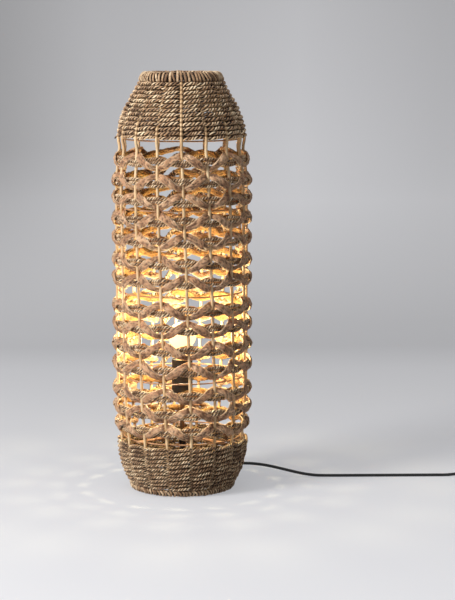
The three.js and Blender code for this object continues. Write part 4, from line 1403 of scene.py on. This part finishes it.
def makeHoops():
    for node in ("hoop_top", "hoop_2", "hoop_3", "hoop_4"):
        low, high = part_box(node)
        addPiece(node + "_wire", hoopMesh(node, (low[2] + high[2]) / 2), "wire", "wire", "root", node)
    height = shell["basketTop"] + bracket["aboveBasket"]
    top = height - wire["radius"] / 2
    reach = 2 * (lineRadius(height) - wire["inside"])
    turn = stakeAngle(bracket["barStake"], height)
    meshes = [hoopMesh("bracketRing", height)]
    for i in range(2):
        lower = i * bracket["barOffset"]
        meshes.append(barMesh(f"bracketBar{i}", reach, top - lower, turn + i * math.pi / 2))
    middle = top - bracket["barThickness"] / 2
    half = bracket["bossHeight"] / 2
    profile = [(bracket["hole"], middle - half), (bracket["boss"], middle - half),
               (bracket["boss"], middle + half), (bracket["hole"], middle + half)]
    meshes.append(turnedMesh("bracketBoss", roundedProfile(profile, bracket["bossRounding"])))
    addPiece("lamp_bracket", joined("lampBracket", meshes), "wire", "wire", "root", "bracket")


makeHoops()
print("hoops and bracket welded")


# Rims: slanting hooked wraps round a core, on top and round the foot
topRim = {
    "radius": 0.0802, "height": 0.8884, "halfWidth": 0.0060, "halfHeight": 0.0082, "wraps": 68,
    "lean": 0.0030, "hook": 0.0, "strap": 0.0031, "thick": 0.0052, "slope": 0.55, "bumps": 0.0016,
    "core": 0.0048,
}
bottomRim = {
    "radius": 0.1068, "height": 0.0080, "halfWidth": 0.0054, "halfHeight": 0.0052, "wraps": 104,
    "lean": 0.0030, "hook": 0.0034, "strap": 0.0028, "thick": 0.0042, "slope": -0.28, "bumps": 0.0016,
    "core": 0.0044,
}
wrapShape = {
    "points": 36, "start": -0.9, "turns": 1.06, "square": 0.72, "angleChange": 0.022, "slant": 0.7,
    "slantChange": 1.3, "sizeChange": 0.3, "risesLess": 0.6, "endSize": 0.4, "endRise": 3.0, "coreSteps": 96,
}


def squared(value):
    return math.copysign(abs(value) ** wrapShape["square"], value)


def wrapPath(rim, seed, wrap):
    steps = wrapShape["points"]
    angle = math.tau * wrap / rim["wraps"] + wander(wrap * 1.7, seed + 15, wrapShape["angleChange"])
    slant = wrapShape["slant"] + wander(wrap * 0.9, seed + 33, wrapShape["slantChange"])
    size = 1 + wander(wrap * 5.3, seed + 25, wrapShape["sizeChange"])
    path = {"places": [], "out": [], "half": [], "thick": [], "row": []}
    for i in range(steps + 1):
        around = math.pi * wrapShape["start"] + math.tau * wrapShape["turns"] * i / steps
        across, up = squared(math.cos(around)), squared(math.sin(around))
        radius = rim["radius"] + rim["halfWidth"] * across - rim["slope"] * rim["halfHeight"] * up
        radius += wander(wrap * 3.1 + i * 0.1, seed + 5, rim["bumps"])
        height = rim["height"] + rim["halfHeight"] * up
        height += wander(wrap * 2.3 + i * 0.1, seed + 8, rim["bumps"] * wrapShape["risesLess"])
        shift = (rim["hook"] * (1 - up * up) - rim["lean"] * slant * up) * (1 if across > 0 else -1)
        turn = angle + shift / rim["radius"]
        taper = min(1.0, wrapShape["endSize"] + wrapShape["endRise"] * min(i, steps - i) / steps)
        path["places"].append(polar(turn, radius, height))
        path["out"].append(radial(turn) * across * rim["halfHeight"] + Vector((0, 0, up * rim["halfWidth"])))
        path["half"].append(rim["strap"] * taper * size)
        path["thick"].append(rim["thick"] * taper * size)
        path["row"].append(wrap * 0.37 + seed)
    return measured(path, wrap * 0.05)


def makeRim(name, rim, node, seed):
    paths = [wrapPath(rim, seed, wrap) for wrap in range(rim["wraps"])]
    mesh = grow(name, paths, strandTree, "seagrassRimWithPaintedShade", {
        "Step": 0.0022, "Points around": 8, "Lump size": 0.0004, "Crease depth": 0.0005,
    })
    count = wrapShape["coreSteps"]
    centres = [polar(math.tau * i / count, rim["radius"], rim["height"]) for i in range(count)]
    core = rodMesh(name + "Core", centres, [rim["core"]] * count, 12, loop=True)
    core.materials.append(finishes["seagrassRimWithPaintedShade"])
    addPiece(name, joined(name, [mesh, core]), None, "seagrass", "root", node)


makeRim("top_rim_wraps", topRim, "top_rim", 0)
makeRim("bottom_rim_braid", bottomRim, "bottom_rim", 50)
print("rims wrapped")


# Stem, nuts, bush, lampholder and bulb, turned about the lamp's axis
fittings = {
    "stem": 0.005, "stemBore": 0.0037, "stemBottom": 0.097, "stemTop": 0.2114, "nut": 0.0085,
    "nutEdge": 0.0006, "bush": 0.008, "bushTip": 0.0048, "bushBore": 0.00325, "bushTop": 0.103,
    "bushBottom": 0.079, "bushRings": 5, "bushGroove": 0.0009, "holder": 0.0224, "holderWall": 0.0024,
    "holderBottom": 0.204, "holderTop": 0.281, "baseHeight": 0.028, "rounding": 0.007, "step": 0.0005,
    "lip": 0.0012, "lineDepth": 0.0006, "bore": 0.0142, "boreFloor": 0.0055, "threads": 6,
    "threadHalf": 0.0008, "threadDepth": 0.0005, "gap": 0.0003, "ribs": 48, "ribDepth": 0.0005,
}


def makeFittings():
    f = fittings
    bore, outside, bottom, top = f["stemBore"], f["stem"], f["stemBottom"], f["stemTop"]
    stem = roundedProfile([(bore, bottom), (outside, bottom), (outside, top), (bore, top)], 0.0005)
    addPiece("steel_stem", turnedMesh("stemTube", stem), "steel", "stem_steel", "root", "stem_tube")
    for node in ("stem_nut_upper", "stem_nut_lower"):
        low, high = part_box(node)
        addPiece(node + "_hex", nutMesh(node, low[2], high[2]), "steel", "stem_steel", "root", node)
    hole, grip = outside + f["gap"], bottom - f["gap"]
    bush = [(hole, f["bushTop"]), (f["bush"], f["bushTop"]), (f["bush"], grip)]
    rings = f["bushRings"]
    for i in range(rings):
        for share, groove in ((0.15, 0), (0.35, f["bushGroove"]), (0.65, f["bushGroove"]), (0.85, 0)):
            t = (i + share) / rings
            bush.append((mix(f["bush"], f["bushTip"], t) - groove, mix(grip, f["bushBottom"], t)))
    bush += [(f["bushTip"], f["bushBottom"]), (f["bushBore"], f["bushBottom"])]
    bush += [(f["bushBore"], grip), (hole, grip)]
    mesh = turnedMesh("leadBush", roundedProfile(bush, 0.0004, 2))
    addPiece("lead_bush", mesh, "sheath", "black_plastic", "root", "cord_bush")
    makeHolder()


def nutMesh(name, bottom, top):
    f = fittings
    hole, chamfer, corner, edge = f["stem"] + f["gap"], f["nut"] * 1.03, f["nut"] * 1.2, f["nutEdge"]
    limits = [(bottom, hole), (bottom, chamfer), (bottom + edge, corner)]
    limits += [(top - edge, corner), (top, chamfer), (top, hole)]
    rings = []
    for height, limit in limits:
        ring = []
        for i in range(48):
            turn = math.tau * i / 48
            reach = f["nut"] / math.cos(turn % (math.pi / 3) - math.pi / 6)
            ring.append(polar(turn, min(reach, limit), height))
        rings.append(ring)
    return meshOf(name, *ringFaces(rings, True), soft=math.radians(25))


# A turned part whose outside between two heights has upright ribs
def ribbedMesh(name, profile, low, high, count, depth):
    mesh = turnedMesh(name, profile, count * 4, soft=math.radians(28))
    outside = max(r for r, z in profile)
    for vertex in mesh.vertices:
        radius = math.hypot(vertex.co.x, vertex.co.y)
        if low < vertex.co.z < high and radius > outside - 0.0002:
            turn = math.atan2(vertex.co.y, vertex.co.x)
            inwards = depth * (0.5 - 0.5 * math.cos(turn * count)) ** 2
            vertex.co.x -= inwards * vertex.co.x / radius
            vertex.co.y -= inwards * vertex.co.y / radius
    return mesh


# The lampholder: a cup with a rounded bottom, a ribbed ring on it, and a threaded core inside
def makeHolder():
    f = fittings
    outer, inner, hole, step = f["holder"], f["holder"] - f["holderWall"], f["stem"] + f["gap"], f["step"]
    bottom, top, rounding = f["holderBottom"], f["holderBottom"] + f["baseHeight"], f["rounding"]
    base = [(hole, bottom)]
    for sine, cosine in quarterTurn(6):
        base.append((outer - rounding * (1 - sine), bottom + rounding * (1 - cosine)))
    base += [(outer, top - 0.0022), (outer - step, top - 0.002), (outer - step, top), (inner, top)]
    base += [(inner, bottom + rounding), (inner - rounding / 2, bottom + f["holderWall"])]
    base.append((hole, bottom + f["holderWall"]))
    addPiece("holder_cup", turnedMesh("holderCup", base, 96), "holder", "holder", "root", "holder_base")
    bottom, top, line = top + f["gap"], f["holderTop"], outer - f["lineDepth"]
    ribsFrom, ribsTo = bottom + 0.0046, top - 0.0146
    ring = [(inner, bottom), (outer, bottom), (outer, bottom + 0.004), (outer, ribsFrom), (outer, ribsTo)]
    ring += [(outer, top - 0.014), (line, top - 0.0124), (line, top - 0.012), (outer, top - 0.0112)]
    for sine, cosine in quarterTurn(4):
        ring.append((outer - f["lip"] * (1 - cosine), top - f["lip"] * (1 - sine)))
    ring.append((inner, top))
    mesh = ribbedMesh("holderShell", ring, ribsFrom - 1e-5, ribsTo + 1e-5, f["ribs"], f["ribDepth"])
    addPiece("holder_ring", mesh, "holder", "holder", "root", "holder_shell")
    low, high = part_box("holder_insert")
    outer, bore, floor, half = inner - f["gap"], f["bore"], low[2] + f["boreFloor"], f["threadHalf"]
    insert = [(0, low[2]), (outer, low[2]), (outer, high[2]), (bore + 0.0012, high[2])]
    for i in range(f["threads"]):
        z = mix(high[2] - 0.0024, floor + 0.002, i / (f["threads"] - 1))
        insert += [(bore, z + half), (bore + f["threadDepth"], z), (bore, z - half)]
    insert += [(bore, floor), (0, floor)]
    addPiece("holder_core", turnedMesh("holderCore", insert, 64), "holder", "holder", "root", "holder_insert")


bulb = {
    "glass": 0.03, "neck": 0.0136, "neckShare": 0.08, "globeFrom": -38, "wall": 0.0008,
    "threadDepth": 0.0006, "threadEnds": 0.0035, "threadSteps": 6, "capTurns": 5,
}


# The glass's outside: a straight neck, an eased shoulder and a round globe
def bulbOutline(bottom, top):
    radius, centre = bulb["glass"], top - bulb["glass"]
    start = math.radians(bulb["globeFrom"])
    join = (radius * math.cos(start), centre + radius * math.sin(start))
    neck = (bulb["neck"] + 0.0002, bottom + (top - bottom) * bulb["neckShare"])
    outline = [(bulb["neck"], bottom), neck]
    for k in range(1, 12):
        t = k / 12
        outline.append((mix(neck[0], join[0], smooth(0, 1, t)), mix(neck[1], join[1], t)))
    for k in range(25):
        turn = mix(start, math.pi / 2, k / 24)
        outline.append((radius * math.cos(turn) if k < 24 else 0.0, centre + radius * math.sin(turn)))
    return outline


def makeBulb():
    low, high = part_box("bulb_contact")
    r = (high[0] - low[0]) / 2
    contact = roundedProfile([(0, low[2]), (r * 0.8, low[2]), (r, high[2]), (0, high[2])], 0.0006)
    mesh = turnedMesh("contactButton", contact, 48)
    addPiece("contact_button", mesh, "nickel", "nickel", "contact", "bulb_contact")
    low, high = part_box("bulb_cap")
    r, perTurn = (high[0] - low[0]) / 2, bulb["threadSteps"]
    cap = [(0, low[2]), (r * 0.45, low[2]), (r * 0.55, low[2] + 0.001), (r * 0.9, low[2] + 0.003)]
    steps = bulb["capTurns"] * perTurn
    threadFrom, threadTo = low[2] + bulb["threadEnds"], high[2] - bulb["threadEnds"]
    for i in range(steps + 1):
        wave = 0.5 - 0.5 * math.cos(math.tau * i / perTurn)
        cap.append((r - bulb["threadDepth"] * (1 - wave), mix(threadFrom, threadTo, i / steps)))
    cap += [(r - 0.0003, high[2] - 0.001), (r, high[2]), (0, high[2])]
    mesh = turnedMesh("screwCap", cap, 64, math.radians(50))
    addPiece("screw_cap", mesh, "nickel", "nickel", "bulb", "bulb_cap")
    low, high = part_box("bulb_glass")
    outside = bulbOutline(low[2], high[2])
    inside = []
    for i in range(len(outside) - 2, -1, -1):
        r, z = outside[i]
        ahead = (Vector(outside[i + 1]) - Vector(outside[max(i - 1, 0)])).normalized()
        inside.append((r - ahead.y * bulb["wall"], z + ahead.x * bulb["wall"]))
    profile = [*outside, (0.0, high[2] - bulb["wall"]), *inside]
    mesh = turnedMesh("opalBulb", profile, 64, math.radians(60))
    glass = addPiece("opal_bulb", mesh, "opal", "bulb_glass", "bulb", "bulb_glass")
    glass.visible_shadow = False


makeFittings()
makeBulb()
print("lampholder and bulb made")


# A pale floor that bends up into a grey wall, darker towards the wall, with painted light from a glow that
# only the camera sees
stage = {
    "width": 7.0, "front": -4.5, "bend": 1.9, "radius": 0.5, "wallTop": 3.4,
    "tones": ((0.0, 0.46), (0.45, 0.385), (1.0, 0.287)), "hue": (0.985, 0.99, 1.03, 1),
    "stagePaintedLight": ((0.0, 0.40), (0.3, 0.38), (0.5, 0.32), (0.75, 0.31), (0.92, 0.24), (1.0, 0.24)),
    "rising": ((0.0, 1.0), (0.35, 1.4), (0.87, 1.05), (1.0, 0.95)),
    "sideways": ((0.0, 0.40), (0.19, 0.82), (0.62, 1.18), (0.92, 0.92)),
}


# 1 for what the camera sees, also in metal and through glass
def seenRays(tree):
    rays = put(tree, "ShaderNodeLightPath").outputs
    mirrored = calc(tree, "MAXIMUM", rays["Is Glossy Ray"], rays["Is Transmission Ray"])
    return calc(tree, "MAXIMUM", rays["Is Camera Ray"], mirrored)


# The backdrop's far side is clear, so that the lamp shows from behind too
def makeStage():
    bend, radius, half = stage["bend"], stage["radius"], stage["width"] / 2
    section = [(stage["front"], 0.0), (bend - 2.0, 0.0), (bend, 0.0)]
    for sine, cosine in quarterTurn(16, 1):
        section.append((bend + radius * sine, radius * (1 - cosine)))
    section.append((bend + radius, stage["wallTop"]))
    points, faces = [], []
    for y, z in section:
        points += [(-half, y, z), (half, y, z)]
    for i in range(len(section) - 1):
        faces.append((2 * i, 2 * i + 1, 2 * i + 3, 2 * i + 2))
    mesh = bpy.data.meshes.new("paleStage")
    mesh.from_pydata(points, [], faces)
    mesh.shade_smooth()
    material, tree, surface = newMaterial("paleStage", 0.85, Specular_IOR_Level=0.2)
    place = put(tree, "ShaderNodeSeparateXYZ", {0: objectPlace(tree)}).outputs

    def along(axis, start, end, *stops):
        share = put(tree, "ShaderNodeMapRange", {0: place[axis], 1: start, 2: end, 3: 0.0, 4: 1.0}).outputs[0]
        return ramp(tree, share, *((where, (level, level, level, 1)) for where, level in stops))

    tone = along("Y", -1.2, 2.4, *stage["tones"])
    tone = blendColours(tree, "MULTIPLY", 1.0, tone, stage["hue"])
    tree.links.new(tone, surface.inputs["Base Color"])
    # Painted light on the stage, seen only by the camera: brightest a little right of the lamp and partway up
    # the wall, fading towards the back
    onWallShare = along("Z", 0.02, 0.6, (0.0, 0.0), (1.0, 1.0))
    sideways = blendColours(tree, "MIX", onWallShare, (1, 1, 1, 1), along("X", -0.6, 1.0, *stage["sideways"]))
    stagePaintedLight = blendColours(tree, "MULTIPLY", 1.0, along("Y", -1.2, 2.4, *stage["stagePaintedLight"]), sideways)
    stagePaintedLight = blendColours(tree, "MULTIPLY", 1.0, stagePaintedLight, along("Z", 0.0, 1.2, *stage["rising"]))
    stagePaintedLight = blendColours(tree, "MULTIPLY", 1.0, stagePaintedLight, stage["hue"])
    tree.links.new(stagePaintedLight, surface.inputs["Emission Color"])
    tree.links.new(seenRays(tree), surface.inputs["Emission Strength"])
    behind = put(tree, "ShaderNodeNewGeometry").outputs["Backfacing"]
    clear = put(tree, "ShaderNodeBsdfTransparent").outputs[0]
    both = put(tree, "ShaderNodeMixShader", {0: behind, 1: surface.outputs[0], 2: clear}).outputs[0]
    tree.links.new(both, tree.nodes["Material Output"].inputs["Surface"])
    mesh.materials.append(material)
    floor = bpy.data.objects.new("paleStage", mesh)
    scene.collection.objects.link(floor)


lights = {
    "world": 0.165, "horizon": 0.50,
    "key": {"place": (-3.4, -2.4, 2.3), "size": 1.7, "power": 210, "tint": (1.0, 0.985, 0.96)},
    "fill": {"place": (3.0, -2.6, 1.6), "size": 2.4, "power": 2.5, "tint": (0.97, 0.98, 1.0)},
    "top": {"place": (-0.4, -0.6, 3.4), "size": 2.4, "power": 28, "tint": (1.0, 1.0, 1.0)},
    "glow": {"places": {0.331: 4.4, 0.445: 1.0}, "size": 0.018, "tint": (1.0, 0.92, 0.57)},
}


def makeLights():
    world = bpy.data.worlds.new("softRoom")
    world.use_nodes = True
    tree = world.node_tree
    backdrop = tree.nodes["Background"].inputs
    backdrop["Color"].default_value = (1, 1, 1, 1)
    paler = timesPlus(tree, seenRays(tree), lights["horizon"] - lights["world"], lights["world"])
    tree.links.new(paler, backdrop["Strength"])
    scene.world = world
    for name in ("key", "fill", "top"):
        settings = lights[name]
        data = bpy.data.lights.new(name + "Light", "AREA")
        data.shape = "DISK"
        data.size = settings["size"]
        data.energy = settings["power"]
        data.color = settings["tint"]
        lamp = bpy.data.objects.new(name + "Light", data)
        lamp.location = settings["place"]
        lamp.rotation_euler = (Vector((0, 0, 0.45)) - lamp.location).to_track_quat("-Z", "Y").to_euler()
        scene.collection.objects.link(lamp)
    settings = lights["glow"]
    for height, power in settings["places"].items():
        data = bpy.data.lights.new("bulbGlow", "POINT")
        data.energy = power
        data.color = settings["tint"]
        data.shadow_soft_size = settings["size"]
        glow = bpy.data.objects.new("bulbGlow", data)
        glow.location = (0, 0, height)
        scene.collection.objects.link(glow)


makeStage()
makeLights()
scene.view_settings.view_transform = "Standard"
print("stage and lights set")
